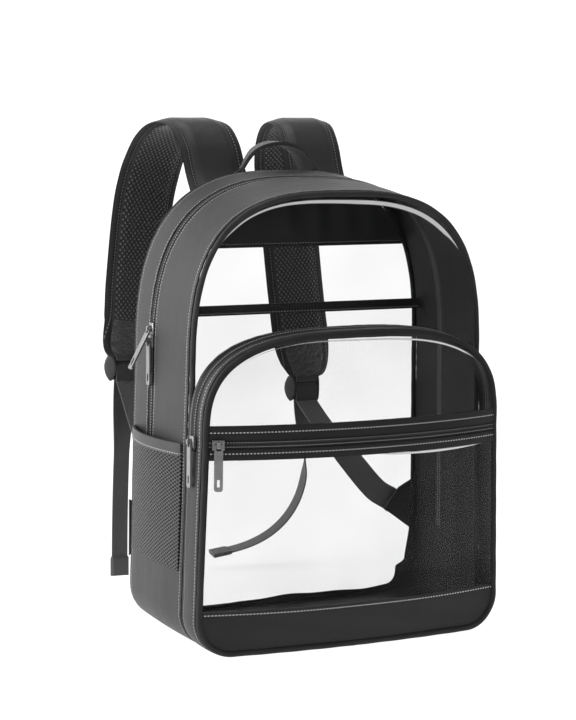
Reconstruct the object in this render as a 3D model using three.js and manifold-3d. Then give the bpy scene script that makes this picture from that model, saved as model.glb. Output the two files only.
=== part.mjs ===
// A clear backpack, 17 inches tall: clear front, back and pocket panels in a frame of dark fabric, with two
// padded shoulder straps. Millimetres, +Z up. The front faces -Y and the origin is the middle of the flat base.
import * as THREE from 'three';
import { mergeVertices } from 'three/addons/utils/BufferGeometryUtils.js';
import Module from 'manifold-3d';

const wasm = await Module();
wasm.setup();

// Driving sizes
const mainDepth = 130;          // rear seam to front seam
const pocketDepth = 33;         // front seam to the pocket's front seam
const halfWidth = 158;          // half the width just above the bottom corners
const frontTaper = 6;           // how far the front's side leans in, up to the start of its crown
const rearTaper = 3.5;          // the rear's
const pocketTaper = 4.8;        // and the pocket's
const frontHeight = 423;
const rearHeight = 436;
const crownStart = 250;         // height where the main crown starts to curve in
const pocketHeight = 297;
const pocketCrownStart = 200;
const cornerRadius = 35;        // bottom corners
const frontCrownPower = 3;      // how square each crown is
const rearCrownPower = 2.85;
const pocketCrownPower = 3;

// Material thicknesses and clearances
const cloth = 2;                // coated fabric, with its seam allowance
const clearSheet = 1;           // clear vinyl
const gap = 0.4;                // between neighbouring pieces
const pipingRadius = 3.5;       // front and pocket seams
const rearPipingRadius = 2.5;
const pipingSink = 0.3;         // how far the piping sits inside the outline
const crownTrim = 0.6;          // a sheet stops this far below the crown's flat top

// Side walls of the main bag
const gussetPuff = 3;           // how far the side wall swells between its seams, below the crown's shoulder
const baseTop = 77;             // where the base's fabric ends on the side
const zipShare = 0.37;          // the main zip's place, from the rear seam
const zipWidth = 12;            // tape that shows, with the teeth
const teethWidth = 4.6;
const tapeDrop = 1;             // the tape lies this far under the fabric's face
const teethSlope = 0.4;         // the flank of the teeth, across the tape
const teethRise = 0.4;          // the closed teeth stand this far above it

// Pocket
const pocketBow = 11;           // how far the seam bows forward at the middle
const pocketCrown = 17;         // how far the front swells beyond its seam
const pocketPuff = 1.5;         // how far its side wall swells
const pocketSwellPower = 2.4;   // how square its front's swell is
const pocketZipShare = 0.5;     // the curved zip's place, from the pocket's back seam
const pocketZipLow = 190;       // where the curved zip ends, each side
const frontZipHeight = 198.5;
const frontZipWidth = 9;
const upperTapeWidth = 8;       // stitched fabric above the front zip
const lowerTapeWidth = 9.5;     // and below it
const bottomBandTop = 44;       // the fabric band across the pocket's foot

// Back
const yokeBottom = 360;
const backClearBottom = 6;
const sleeveSetIn = 8;          // the inner sleeve lies this far in front of the back
const sleeveTop = 305;
const sleeveBindingWidth = 10;

// Side mesh pockets
const meshBottom = 74;
const meshTop = 193;
const meshBindingWidth = 12;
const meshThickness = 1.2;
const bindingThickness = 2.4;
const meshBulge = 10;           // at the middle of the mouth
const meshRim = 0.5;            // at its sewn edges
const meshEdgeShare = 0.06;     // how far its edges lie from the seams
const meshFootShare = 0.25;     // how much of the bulge is left at its foot

// Shoulder straps
const padWidth = 64;
const padThickness = 10;
const padEdgeThickness = 4.5;
const strapCentre = 54;         // at the root, from the middle
const strapRoot = 385;          // height of the sewn end
const strapRise = 94;           // root to the arch's top, along the pad's middle
const strapReach = 141;         // how far the hanging part stands behind the root
const strapSides = [
  { name: 'left', side: -1, flare: 57, fall: 143, tail: 203, tailTwist: 30, tailCurl: 0 },
  { name: 'right', side: 1, flare: 44, fall: 175, tail: 226, tailTwist: 78, tailCurl: 84 },
];
const padRootShare = 0.6;       // the sewn root's thickness, of the pad's
const padFlatShare = 0.78;      // how much of the pad's width has its full thickness
const padRoundShare = 0.07;     // how much of its length the rounded lower end takes
const padTipWidth = 0.52;       // the lower end's width, of the pad's
const padTipThickness = 0.65;   // and its thickness

// Webbing and ladder locks
const webbingWidth = 25;
const webbingThickness = 1.4;
const lockWidth = 33;
const lockBar = 4;
const lockThickness = 3.5;
const lockSlot = 7;
const lockCorner = 3;           // radius of its corners
const loopThickness = 1.5;
const foldLength = 20;          // the folded and stitched end
const foldThickness = 4;
const tailLean = 3.5;           // degrees outwards that a plumb tail hangs
const tailSway = 0.09;          // how far a tail drifts forwards or back, of its length

// Corner patches that the webbing is sewn to
const patchTop = 118;
const patchBottom = 62;
const patchTip = { inset: 27, height: 98 };
const patchTipWidth = 27;
const patchSlope = { x: 0.62, z: 0.78 };  // the way its tip's edge runs

// Grab handle
const handleHalfSpan = 38;
const handleWidth = 24;
const handleThickness = 3.6;
const handleRise = 27;          // its top above the rear seam
const handleRoot = 26;          // its sewn ends below the rear seam
const handleSetBack = 15.8;     // its top behind the rear seam

// Zip sliders and pulls
const sliderLength = 11;
const sliderWidth = 9;
const sliderPlate = 1.8;
const bridgeOuter = 5.8;
const bridgeBar = 1.5;
const bridgeWidth = 3;
const bridgeClear = 2.8;
const bridgeSink = 0.3;         // its feet reach this far into the plate
const bridgeBevel = 1.1;
const plateBevel = { across: 1.2, down: 0.7 };
const pullWidth = 8;
const pullLength = 42;
const pullThickness = 1.8;
const pullCorner = 2.4;         // radius of its lower corners
const pullWaist = 0.6;          // how much narrower its top is, each side
const pullEye = { half: 2.2, near: 0.8, far: 4.7 };
const pullSlot = { half: 1.3, start: 31, end: 38 };
const upperSliderHeight = 290;
const pocketSliderHeight = 199;
const frontSliderInset = 18;    // from the side of the pocket
const upperPullSwing = 27.5;    // degrees outwards, as it lies on the lower slider's bridge

const frontHighHalf = halfWidth - frontTaper;
const rearHighHalf = halfWidth - rearTaper;
const pocketHighHalf = halfWidth - pocketTaper;
const rearY = mainDepth / 2;
const frontY = -mainDepth / 2;
const pocketY = frontY - pocketDepth;

const materials = {
  fabric: { color: 0x4a4a4c, roughness: 0.75, metalness: 0 },
  trim: { color: 0x2b2b2d, roughness: 0.7, metalness: 0 },
  mesh: { color: 0x1b1b1c, roughness: 0.9, metalness: 0 },
  vinyl: { color: 0xe8ecee, roughness: 0.08, metalness: 0, transparent: true, opacity: 0.3 },
  webbing: { color: 0x19191a, roughness: 0.85, metalness: 0 },
  plastic: { color: 0x141414, roughness: 0.45, metalness: 0 },
  metal: { color: 0xb4b6b8, roughness: 0.25, metalness: 1 },
};
const bag = new THREE.Group();

function add(name, finish, geometry) {
  const mesh = new THREE.Mesh(geometry, new THREE.MeshStandardMaterial(materials[finish]));
  mesh.name = name;
  bag.add(mesh);
  return mesh;
}

const lerp = THREE.MathUtils.lerp;
const smooth = (x, from, to) => THREE.MathUtils.smoothstep(x, from, to);

// A closed solid through rings of equal point counts. Open lofts get end caps that join each point to the one
// across the ring, so a ring lists one long side and then the other side backwards.
function loft(rings, closed = false) {
  const size = rings[0].length;
  const positions = rings.flat().flatMap((p) => [p.x, p.y, p.z]);
  const faces = [];
  const quad = (a, b, c, d) => faces.push(a, b, c, a, c, d);
  const spans = closed ? rings.length : rings.length - 1;
  for (let i = 0; i < spans; i++) {
    const here = i * size;
    const next = ((i + 1) % rings.length) * size;
    for (let j = 0; j < size; j++) {
      const k = (j + 1) % size;
      quad(here + j, here + k, next + k, next + j);
    }
  }
  if (!closed) {
    const last = (rings.length - 1) * size;
    for (let j = 0; j < size / 2 - 1; j++) {
      quad(j, size - 1 - j, size - 2 - j, j + 1);
      quad(last + j, last + j + 1, last + size - 2 - j, last + size - 1 - j);
    }
  }
  const geometry = new THREE.BufferGeometry();
  geometry.setAttribute('position', new THREE.Float32BufferAttribute(positions, 3));
  geometry.setIndex(faces);
  if (volumeOf(geometry) < 0) {
    geometry.setIndex(faces.map((_, i) => faces[i - (i % 3) + 2 - (i % 3)]));
  }
  geometry.computeVertexNormals();
  return geometry;
}

function volumeOf(geometry) {
  const points = geometry.attributes.position;
  const [a, b, c] = [new THREE.Vector3(), new THREE.Vector3(), new THREE.Vector3()];
  let sum = 0;
  for (let i = 0; i < geometry.index.count; i += 3) {
    a.fromBufferAttribute(points, geometry.index.getX(i));
    b.fromBufferAttribute(points, geometry.index.getX(i + 1));
    c.fromBufferAttribute(points, geometry.index.getX(i + 2));
    sum += a.dot(b.cross(c));
  }
  return sum / 6;
}

// Front-view outlines. u runs from 0 at the middle of the bottom, past 1 and 2 at the ends of the corner arc
// and 3 at the start of the crown, to 4 at the middle of the top, and on to a full lap down the other side.
const lap = 8;
const lapTurn = (u) => ((u % lap) + lap) % lap;
const fromFoot = (u) => Math.min(lapTurn(u), lap - lapTurn(u));
const frontForm = { height: frontHeight, high: frontHighHalf, crown: crownStart, power: frontCrownPower };
const rearForm = { height: rearHeight, high: rearHighHalf, crown: crownStart, power: rearCrownPower };
const pocketForm = {
  height: pocketHeight, high: pocketHighHalf, crown: pocketCrownStart, power: pocketCrownPower,
};

function outlinePoint(form, u) {
  const side = lapTurn(u) > lap / 2 ? -1 : 1;
  const s = fromFoot(u);
  if (s <= 1) return new THREE.Vector2(side * s * (halfWidth - cornerRadius), 0);
  if (s <= 2) {
    const a = ((s - 1) * Math.PI) / 2;
    const x = halfWidth - cornerRadius + cornerRadius * Math.sin(a);
    return new THREE.Vector2(side * x, cornerRadius - cornerRadius * Math.cos(a));
  }
  if (s <= 3) {
    return new THREE.Vector2(side * lerp(halfWidth, form.high, s - 2), lerp(cornerRadius, form.crown, s - 2));
  }
  const a = ((s - 3) * Math.PI) / 2;
  const x = form.high * Math.max(Math.cos(a), 0) ** (2 / form.power);
  return new THREE.Vector2(side * x, form.crown + (form.height - form.crown) * Math.sin(a) ** (2 / form.power));
}

// Every piece follows the outlines through the same corners, more of them where the outline bends
const corners = (() => {
  const half = [
    0, 0.5, 1, 1.17, 1.33, 1.5, 1.67, 1.83, 2, 2.2, 2.4, 2.6, 2.8, 3,
    3.14, 3.27, 3.39, 3.5, 3.62, 3.74, 3.87,
  ];
  return [...half, lap / 2, ...half.slice(1).reverse().map((u) => lap - u)];
})();

// The outline moved inwards by a distance, between two forms by a share, with straight runs between corners
function insetPoint(forms, share, u, inset) {
  const at = (v) => outlinePoint(forms[0], v).lerp(outlinePoint(forms[1], v), share);
  const atCorner = (v) => {
    const step = 0.01;
    const tangent = at(v + step).sub(at(v - step)).normalize();
    return at(v).add(new THREE.Vector2(-tangent.y, tangent.x).multiplyScalar(inset));
  };
  const turn = lapTurn(u);
  const before = corners.findLastIndex((c) => c <= turn);
  const from = corners[before];
  const to = corners[before + 1] ?? lap;
  return atCorner(from).lerp(atCorner(to), (turn - from) / (to - from));
}

// The u on the right side whose inset point lies at a height
function uAtHeight(form, height, inset = 0) {
  let [low, high] = [0.5, lap / 2];
  for (let i = 0; i < 40; i++) {
    const mid = (low + high) / 2;
    if (insetPoint([form, form], 0, mid, inset).y < height) low = mid;
    else high = mid;
  }
  return (low + high) / 2;
}

// The two ends and the corners between them
function stations(from, to) {
  const all = [...corners.map((u) => u - lap), ...corners];
  const near = 0.02;
  return [from, ...all.filter((u) => u > from + near && u < to - near), to];
}

// Side wall of the main bag: v runs from the rear seam to the front seam, drop is the distance inwards
function wallPoint(u, v, drop) {
  const s = fromFoot(u);
  const swell = gussetPuff * 4 * v * (1 - v) * smooth(s, 1, 2) * (1 - smooth(s, 3, 3.7));
  const p = insetPoint([rearForm, frontForm], v, u, drop - swell);
  return new THREE.Vector3(p.x, lerp(rearY, frontY, v), p.y);
}

const wallSolid = (us, outer, inner) =>
  loft(us.map((u) => [...outer, ...[...inner].reverse()].map(({ v, drop }) => wallPoint(u, v, drop))));

const rearEdge = (rearPipingRadius + gap) / mainDepth;
const frontEdge = 1 - (pipingRadius + gap) / mainDepth;
const zipHalf = zipWidth / 2 / mainDepth;
const clothEdges = (from, to) => {
  const vs = [from, (from + to) / 2, to];
  return [vs.map((v) => ({ v, drop: 0 })), vs.map((v) => ({ v, drop: cloth }))];
};

const uBase = uAtHeight(frontForm, baseTop);
const uGap = gap / (crownStart - cornerRadius);

add('base_panel', 'fabric', wallSolid(stations(-uBase, uBase), ...clothEdges(rearEdge, frontEdge)));
const upperWall = stations(uBase + uGap, lap - uBase - uGap);
const slitEdge = gap / mainDepth;
add('gusset_rear_strip', 'fabric',
  wallSolid(upperWall, ...clothEdges(rearEdge, zipShare - zipHalf - slitEdge)));
add('gusset_front_strip', 'fabric',
  wallSolid(upperWall, ...clothEdges(zipShare + zipHalf + slitEdge, frontEdge)));

// A zip's section across its tape: the tape lies low and the closed teeth stand up in the middle
const zipSection = (width) => [
  { across: -width / 2, drop: tapeDrop },
  { across: -teethWidth / 2 - teethSlope, drop: tapeDrop },
  { across: -teethWidth / 2, drop: -teethRise },
  { across: teethWidth / 2, drop: -teethRise },
  { across: teethWidth / 2 + teethSlope, drop: tapeDrop },
  { across: width / 2, drop: tapeDrop },
];
const mainZip = zipSection(zipWidth).map((p) => ({ v: zipShare + p.across / mainDepth, drop: p.drop }));
add('main_zip', 'trim', wallSolid(upperWall, mainZip, mainZip.map((p) => ({ v: p.v, drop: cloth }))));

// Piping: a round cord in a fabric sleeve, sewn into a seam all the way round
function piping(form, radius, seamY) {
  const sides = 8;
  return loft(corners.map((u) => {
    const ring = [];
    for (let i = 0; i < sides; i++) {
      const a = ((i + 0.5) * 2 * Math.PI) / sides;
      const p = insetPoint([form, form], 0, u, pipingSink + radius - radius * Math.cos(a));
      ring.push(new THREE.Vector3(p.x, seamY(p.x) + radius * Math.sin(a), p.y));
    }
    return ring;
  }), true);
}
const seamBow = (x) => pocketBow * (1 - Math.min(Math.abs(x) / halfWidth, 1) ** 2);
const pocketSeam = (x) => pocketY - seamBow(x);

add('main_front_piping', 'trim', piping(frontForm, pipingRadius, () => frontY));
add('back_piping', 'trim', piping(rearForm, rearPipingRadius, () => rearY));
add('pocket_piping', 'trim', piping(pocketForm, pipingRadius, pocketSeam));

// A sheet inside an outline, made of rows from side to side. face gives the y of its outer side, and lifts
// names rows that stand off it. towards is -1 for a sheet that faces the front and 1 for one at the back.
function sheet({ form, inset, from, to, columns = 2, thickness, face, towards = -1, lifts }) {
  const top = Math.min(form.height - inset - crownTrim, to);
  const ends = [from, top].map((height) => uAtHeight(form, height, inset));
  const levels = lifts ? lifts.map(({ z }) => uAtHeight(form, z, inset)) : stations(...ends);
  return loft(levels.map((u, i) => {
    const edge = insetPoint([form, form], 0, u, inset);
    const outer = [];
    const inner = [];
    for (let j = 0; j <= columns; j++) {
      const x = lerp(-edge.x, edge.x, j / columns);
      const y = face(x, edge.y);
      outer.push(new THREE.Vector3(x, y + towards * (lifts ? lifts[i].lift : 0), edge.y));
      inner.push(new THREE.Vector3(x, y - towards * thickness, edge.y));
    }
    return [...outer, ...inner.reverse()];
  }));
}

// Main front: one clear sheet inside the piping
const insidePiping = pipingSink + 2 * pipingRadius + gap;
const lowSheet = insidePiping + gap;
add('main_front_panel', 'vinyl', sheet({
  form: frontForm, inset: insidePiping, from: lowSheet, to: frontHeight,
  thickness: clearSheet, face: () => frontY - clearSheet / 2,
}));

// Back: a fabric yoke above a clear sheet
const insideRearPiping = pipingSink + 2 * rearPipingRadius + gap;
const backSheet = { form: rearForm, inset: insideRearPiping, towards: 1 };
add('back_panel', 'vinyl', sheet({
  ...backSheet, from: backClearBottom, to: yokeBottom - gap,
  thickness: clearSheet, face: () => rearY + clearSheet / 2,
}));
add('back_yoke', 'fabric', sheet({
  ...backSheet, from: yokeBottom, to: rearHeight,
  thickness: cloth, face: () => rearY + cloth / 2,
}));

// Inner sleeve: a clear sheet with a bound top edge, sewn in at the sides and foot
const sleeveForm = {
  height: rearHeight, high: lerp(rearHighHalf, frontHighHalf, sleeveSetIn / mainDepth),
  crown: crownStart, power: rearCrownPower,
};
const sleeve = { form: sleeveForm, inset: cloth + gap };
add('sleeve_panel', 'vinyl', sheet({
  ...sleeve, from: cloth + gap, to: sleeveTop - sleeveBindingWidth - gap,
  thickness: clearSheet, face: () => rearY - sleeveSetIn - clearSheet / 2,
}));
add('sleeve_binding', 'trim', sheet({
  ...sleeve, from: sleeveTop - sleeveBindingWidth, to: sleeveTop,
  thickness: cloth, face: () => rearY - sleeveSetIn - cloth / 2,
}));

// Pocket side wall, from the main front's piping to the pocket's own
function pocketWallPoint(u, v, drop) {
  const swell = pocketPuff * 4 * v * (1 - v) * smooth(fromFoot(u), 1, 2);
  const p = insetPoint([pocketForm, pocketForm], 0, u, drop - swell);
  const back = frontY - pipingRadius - gap;
  const front = pocketSeam(p.x) + pipingRadius + gap;
  return new THREE.Vector3(p.x, lerp(back, front, v), p.y);
}
const pocketWall = (us, outer, inner) =>
  loft(us.map((u) => [...outer, ...[...inner].reverse()].map(({ v, drop }) => pocketWallPoint(u, v, drop))));
const pocketWallWidth = pocketDepth - 2 * pipingRadius - 2 * gap;
const uPocketZip = uAtHeight(pocketForm, pocketZipLow);
const pocketGap = gap / pocketWallWidth;
const pocketUpper = stations(uPocketZip + uGap, lap - uPocketZip - uGap);
const pocketZipHalf = zipWidth / 2 / pocketWallWidth;

add('pocket_gusset_base', 'fabric', pocketWall(stations(-uPocketZip, uPocketZip), ...clothEdges(0, 1)));
add('pocket_gusset_rear', 'fabric',
  pocketWall(pocketUpper, ...clothEdges(0, pocketZipShare - pocketZipHalf - pocketGap)));
add('pocket_gusset_front', 'fabric',
  pocketWall(pocketUpper, ...clothEdges(pocketZipShare + pocketZipHalf + pocketGap, 1)));
const curvedZip = zipSection(zipWidth)
  .map((p) => ({ v: pocketZipShare + p.across / pocketWallWidth, drop: p.drop }));
add('pocket_zip', 'trim',
  pocketWall(pocketUpper, curvedZip, curvedZip.map((p) => ({ v: p.v, drop: cloth }))));

// Pocket front: it swells forward inside its bowed seam
function pocketFace(x, z) {
  const across = 1 - Math.min(Math.abs(x) / halfWidth, 1) ** pocketSwellPower;
  const up = 1 - Math.min(Math.abs(2 * z / pocketHeight - 1), 1) ** pocketSwellPower;
  return pocketSeam(x) - pocketCrown * across * up;
}
const pocketSheet = { form: pocketForm, inset: insidePiping, columns: 14, face: pocketFace };
const zipTop = frontZipHeight + frontZipWidth / 2;
const zipBottom = frontZipHeight - frontZipWidth / 2;
const upperTapeTop = zipTop + gap + upperTapeWidth;
const lowerTapeBottom = zipBottom - gap - lowerTapeWidth;
add('pocket_upper_panel', 'vinyl', sheet({
  ...pocketSheet, from: upperTapeTop + gap, to: pocketHeight, thickness: clearSheet,
}));
add('pocket_zip_band_upper', 'fabric', sheet({
  ...pocketSheet, from: zipTop + gap, to: upperTapeTop, thickness: cloth,
}));
add('pocket_zip_band_lower', 'fabric', sheet({
  ...pocketSheet, from: lowerTapeBottom, to: zipBottom - gap, thickness: cloth,
}));
add('pocket_lower_panel', 'vinyl', sheet({
  ...pocketSheet, from: bottomBandTop + gap, to: lowerTapeBottom - gap, thickness: clearSheet,
}));
add('pocket_bottom_band', 'fabric', sheet({
  ...pocketSheet, from: lowSheet, to: bottomBandTop, thickness: cloth,
}));
const frontZip = zipSection(frontZipWidth).map((p) => ({ z: frontZipHeight + p.across, lift: -p.drop }));
add('front_zip', 'trim', sheet({
  ...pocketSheet, from: zipBottom, to: zipTop, lifts: frontZip, thickness: cloth,
}));

// Side pockets: stretch mesh that stands off the side wall, and its bound mouth
function meshSolid(side, from, to, rows, thickness) {
  const [low, high] = [uAtHeight(frontForm, from), uAtHeight(frontForm, to)];
  const columns = 6;
  const rings = [];
  for (let i = 0; i <= rows; i++) {
    const u = lerp(low, high, i / rows);
    const height = lerp(from, to, i / rows);
    const open = lerp(meshFootShare, 1, (height - meshBottom) / (meshTop - meshBottom));
    const outer = [];
    const inner = [];
    for (let j = 0; j <= columns; j++) {
      const v = lerp(meshEdgeShare, 1 - meshEdgeShare, j / columns);
      const stand = meshRim + meshBulge * open * Math.sin((Math.PI * j) / columns) ** 0.8;
      outer.push(wallPoint(side * u, v, -stand - thickness));
      inner.push(wallPoint(side * u, v, -stand));
    }
    rings.push([...outer, ...inner.reverse()]);
  }
  return loft(rings);
}
for (const { name, side } of strapSides) {
  const bindingBottom = meshTop - meshBindingWidth;
  add(`side_mesh_${name}`, 'mesh', meshSolid(side, meshBottom, bindingBottom - gap, 5, meshThickness));
  add(`side_mesh_binding_${name}`, 'trim', meshSolid(side, bindingBottom, meshTop, 1, bindingThickness));
}

// A flat strip along a path. Each station has a place, the way its width runs, and its half sizes.
function strip(path, section) {
  return loft(path.map((here, i) => {
    const before = path[Math.max(i - 1, 0)].place;
    const after = path[Math.min(i + 1, path.length - 1)].place;
    const along = after.clone().sub(before).normalize();
    const width = here.across.clone().addScaledVector(along, -here.across.dot(along)).normalize();
    const out = along.clone().cross(width);
    return section(here).map(([w, t]) => here.place.clone().addScaledVector(width, w).addScaledVector(out, t));
  }));
}
const flatSection = ({ half, thick }) => [[-half, -thick], [half, -thick], [half, thick], [-half, thick]];
const padSection = ({ half, thick, edge }) => {
  const flat = padFlatShare * half;
  return [
    [-half, -edge], [-flat, -thick], [flat, -thick], [half, -edge],
    [half, edge], [flat, thick], [-flat, thick], [-half, edge],
  ];
};

// The pad's middle line: flare, behind and rise are shares of the strap's sizes, and so is fall below the root
const padRows = [
  { flare: { left: 0, right: 0 }, behind: 0, rise: 0, fall: 0 },
  { flare: { left: 0, right: 0 }, behind: 0.09, rise: 0.19, fall: 0 },
  { flare: { left: 0, right: 0 }, behind: 0.23, rise: 0.47, fall: 0 },
  { flare: { left: 0.02, right: 0.02 }, behind: 0.34, rise: 0.78, fall: 0 },
  { flare: { left: 0.08, right: 0.04 }, behind: 0.45, rise: 0.95, fall: 0 },
  { flare: { left: 0.16, right: 0.08 }, behind: 0.58, rise: 1, fall: 0 },
  { flare: { left: 0.26, right: 0.14 }, behind: 0.74, rise: 0.95, fall: 0 },
  { flare: { left: 0.35, right: 0.22 }, behind: 0.88, rise: 0.79, fall: 0 },
  { flare: { left: 0.43, right: 0.31 }, behind: 0.97, rise: 0.56, fall: 0 },
  { flare: { left: 0.53, right: 0.4 }, behind: 1, rise: 0.3, fall: 0 },
  { flare: { left: 0.62, right: 0.5 }, behind: 1, rise: 0, fall: 0 },
  { flare: { left: 0.75, right: 0.73 }, behind: 0.99, rise: 0, fall: 0.5 },
  { flare: { left: 0.82, right: 0.87 }, behind: 0.97, rise: 0, fall: 0.79 },
  { flare: { left: 0.94, right: 1 }, behind: 0.97, rise: 0, fall: 0.93 },
  { flare: { left: 0.94, right: 1 }, behind: 0.97, rise: 0, fall: 1 },
];
const rootY = rearY + cloth / 2 + gap + (padThickness / 2) * padRootShare;
const xAxis = new THREE.Vector3(1, 0, 0);
const yAxis = new THREE.Vector3(0, 1, 0);
const zAxis = new THREE.Vector3(0, 0, 1);

function padPath({ name, side, flare, fall }) {
  const curve = new THREE.CatmullRomCurve3(padRows.map((row) => new THREE.Vector3(
    side * (strapCentre + row.flare[name] * flare),
    rootY + row.behind * strapReach,
    strapRoot + row.rise * strapRise - row.fall * fall,
  )), false, 'centripetal');
  const shares = [];
  const steps = 26;
  for (let i = 0; i <= steps; i++) shares.push((i / steps) * (1 - padRoundShare));
  for (const share of [0.35, 0.65, 0.87, 1]) shares.push(1 - padRoundShare + share * padRoundShare);
  return shares.map((share) => {
    const end = Math.max(0, (share - 1 + padRoundShare) / padRoundShare);
    const half = (padWidth / 2) * lerp(padTipWidth, 1, Math.sqrt(Math.max(0, 1 - end * end)));
    const root = lerp(padRootShare, 1, smooth(share, 0.02, 0.1));
    const tip = lerp(1, padTipThickness, end);
    return {
      place: curve.getPointAt(share),
      across: xAxis,
      half,
      thick: (padThickness / 2) * root * tip,
      edge: (padEdgeThickness / 2) * root * tip,
    };
  });
}

// Ladder lock: a flat frame with three bars; its upper slot takes the loop and the webbing's turn
function lockGeometry() {
  const height = 3 * lockBar + 2 * lockSlot;
  const shape = new THREE.Shape();
  const [w, r] = [lockWidth / 2, lockCorner];
  const [top, bottom] = [lockBar / 2, lockBar / 2 - height];
  shape.moveTo(-w + r, bottom);
  shape.lineTo(w - r, bottom);
  shape.absarc(w - r, bottom + r, r, -Math.PI / 2, 0);
  shape.lineTo(w, top - r);
  shape.absarc(w - r, top - r, r, 0, Math.PI / 2);
  shape.lineTo(-w + r, top);
  shape.absarc(-w + r, top - r, r, Math.PI / 2, Math.PI);
  shape.lineTo(-w, bottom + r);
  shape.absarc(-w + r, bottom + r, r, Math.PI, 1.5 * Math.PI);
  const half = webbingWidth / 2 + gap;
  for (const slotTop of [-lockBar / 2, -1.5 * lockBar - lockSlot]) {
    const hole = new THREE.Path();
    hole.moveTo(-half, slotTop);
    hole.lineTo(half, slotTop);
    hole.lineTo(half, slotTop - lockSlot);
    hole.lineTo(-half, slotTop - lockSlot);
    hole.closePath();
    shape.holes.push(hole);
  }
  const geometry = new THREE.ExtrudeGeometry(shape, { depth: lockThickness, bevelEnabled: false, curveSegments: 3 });
  return geometry.translate(0, 0, -lockThickness / 2);
}

// The loop that ties the lock to the pad's end: a ring of webbing round the lock's top bar
function loopGeometry() {
  const ring = (y, z, r) => {
    const points = [];
    const steps = 4;
    for (let i = 0; i <= steps; i++) {
      const a = (i / steps) * Math.PI;
      points.push(new THREE.Vector2(Math.cos(a) * y, z + Math.sin(a) * r));
    }
    for (let i = 0; i <= steps; i++) {
      const a = Math.PI + (i / steps) * Math.PI;
      points.push(new THREE.Vector2(Math.cos(a) * y, -z + Math.sin(a) * r));
    }
    return points;
  };
  const innerY = lockThickness / 2 + gap;
  const straight = lockBar / 2;
  const shape = new THREE.Shape(ring(innerY + loopThickness, straight, gap + loopThickness));
  shape.holes.push(new THREE.Path(ring(innerY, straight, gap)));
  const width = webbingWidth - 2 * gap;
  return new THREE.ExtrudeGeometry(shape, { depth: width, bevelEnabled: false }).translate(0, 0, -width / 2);
}
const loopHalfHeight = lockBar / 2 + gap + loopThickness;

// Webbing: from the corner patch up behind the lock, over its middle bar and down in front as a free tail
const patchY = rearY + rearPipingRadius + gap;
const patchFace = patchY + cloth;
const leadRows = [
  { across: -0.16, behind: 0.005, up: -0.08 },
  { across: -0.09, behind: 0.005, up: -0.05 },
  { across: 0.02, behind: 0.006, up: -0.01 },
  { across: 0.13, behind: 0.025, up: 0.015 },
  { across: 0.3, behind: 0.09, up: 0.07 },
  { across: 0.675, behind: 0.406, up: 0.417 },
  { across: 0.9, behind: 0.74, up: 0.74 },
  { across: 0.98, behind: 0.92, up: 0.92 },
];

function webbingPath({ side, tail, tailTwist, tailCurl }, lock) {
  const stand = lockThickness / 2 + gap + webbingThickness / 2;
  const half = webbingWidth / 2 - gap;
  const thick = webbingThickness / 2;
  const barZ = lock.z - lockBar - lockSlot;
  const lockFoot = barZ - 1.5 * lockBar - lockSlot;
  const startY = patchFace + 2 * gap + thick;
  const start = new THREE.Vector3(side * (halfWidth - patchTip.inset), startY, patchTip.height);
  const foot = new THREE.Vector3(lock.x, lock.y - stand, lockFoot);
  const leadPlaces = leadRows.map((row) => new THREE.Vector3(
    lerp(start.x, foot.x, row.across), lerp(start.y, foot.y, row.behind), lerp(start.z, foot.z, row.up),
  ));
  const lead = new THREE.CatmullRomCurve3([...leadPlaces, foot], false, 'centripetal');
  const patchAcross = new THREE.Vector3(side * patchSlope.x, 0, patchSlope.z);
  const path = [];
  const steps = 18;
  for (let i = 0; i <= steps; i++) {
    const turn = smooth(i / steps, 0.2, 0.85);
    const across = patchAcross.clone().multiplyScalar(side).lerp(xAxis, turn).normalize();
    path.push({ place: lead.getPointAt(i / steps), across, half, thick });
  }
  const turnSteps = 8;
  const turnZ = barZ + lockBar / 2;
  for (let i = 0; i <= turnSteps; i++) {
    const a = Math.PI - (i / turnSteps) * Math.PI;
    const place = new THREE.Vector3(lock.x, lock.y + stand * Math.cos(a), turnZ + stand * Math.sin(a));
    path.push({ place, across: xAxis, half, thick });
  }
  const tailStart = new THREE.Vector3(lock.x, lock.y + stand, lockFoot);
  path.push({ place: tailStart, across: xAxis, half, thick });
  for (const station of tailStations(side, tailStart, tail, tailTwist, tailCurl)) {
    path.push({ half: station.fold ? half + gap : half, ...station });
  }
  return path;
}

// The free end: it turns about its own length as it hangs, and one of them curls towards the middle
function tailStations(side, start, length, twist, curl) {
  const steps = 22;
  const places = [];
  let place = start.clone();
  const step = length / steps;
  for (let i = 1; i <= steps; i++) {
    const share = i / steps;
    const lean = THREE.MathUtils.degToRad(tailLean - curl * smooth(share, 0.2, 0.98));
    const sway = (curl ? 2 : -2) * tailSway * share;
    const way = new THREE.Vector3(side * Math.sin(lean), sway, -Math.cos(lean)).normalize();
    place = place.clone().addScaledVector(way, step);
    places.push(place);
  }
  const foldShare = 1 - foldLength / length;
  return places.map((p, i) => {
    const share = (i + 1) / steps;
    const a = THREE.MathUtils.degToRad(twist * smooth(share, 0, 0.4));
    const fold = share > foldShare;
    return {
      place: p,
      across: new THREE.Vector3(Math.cos(a), Math.sin(a), 0),
      thick: (fold ? foldThickness : webbingThickness) / 2,
      fold,
    };
  });
}

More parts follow.
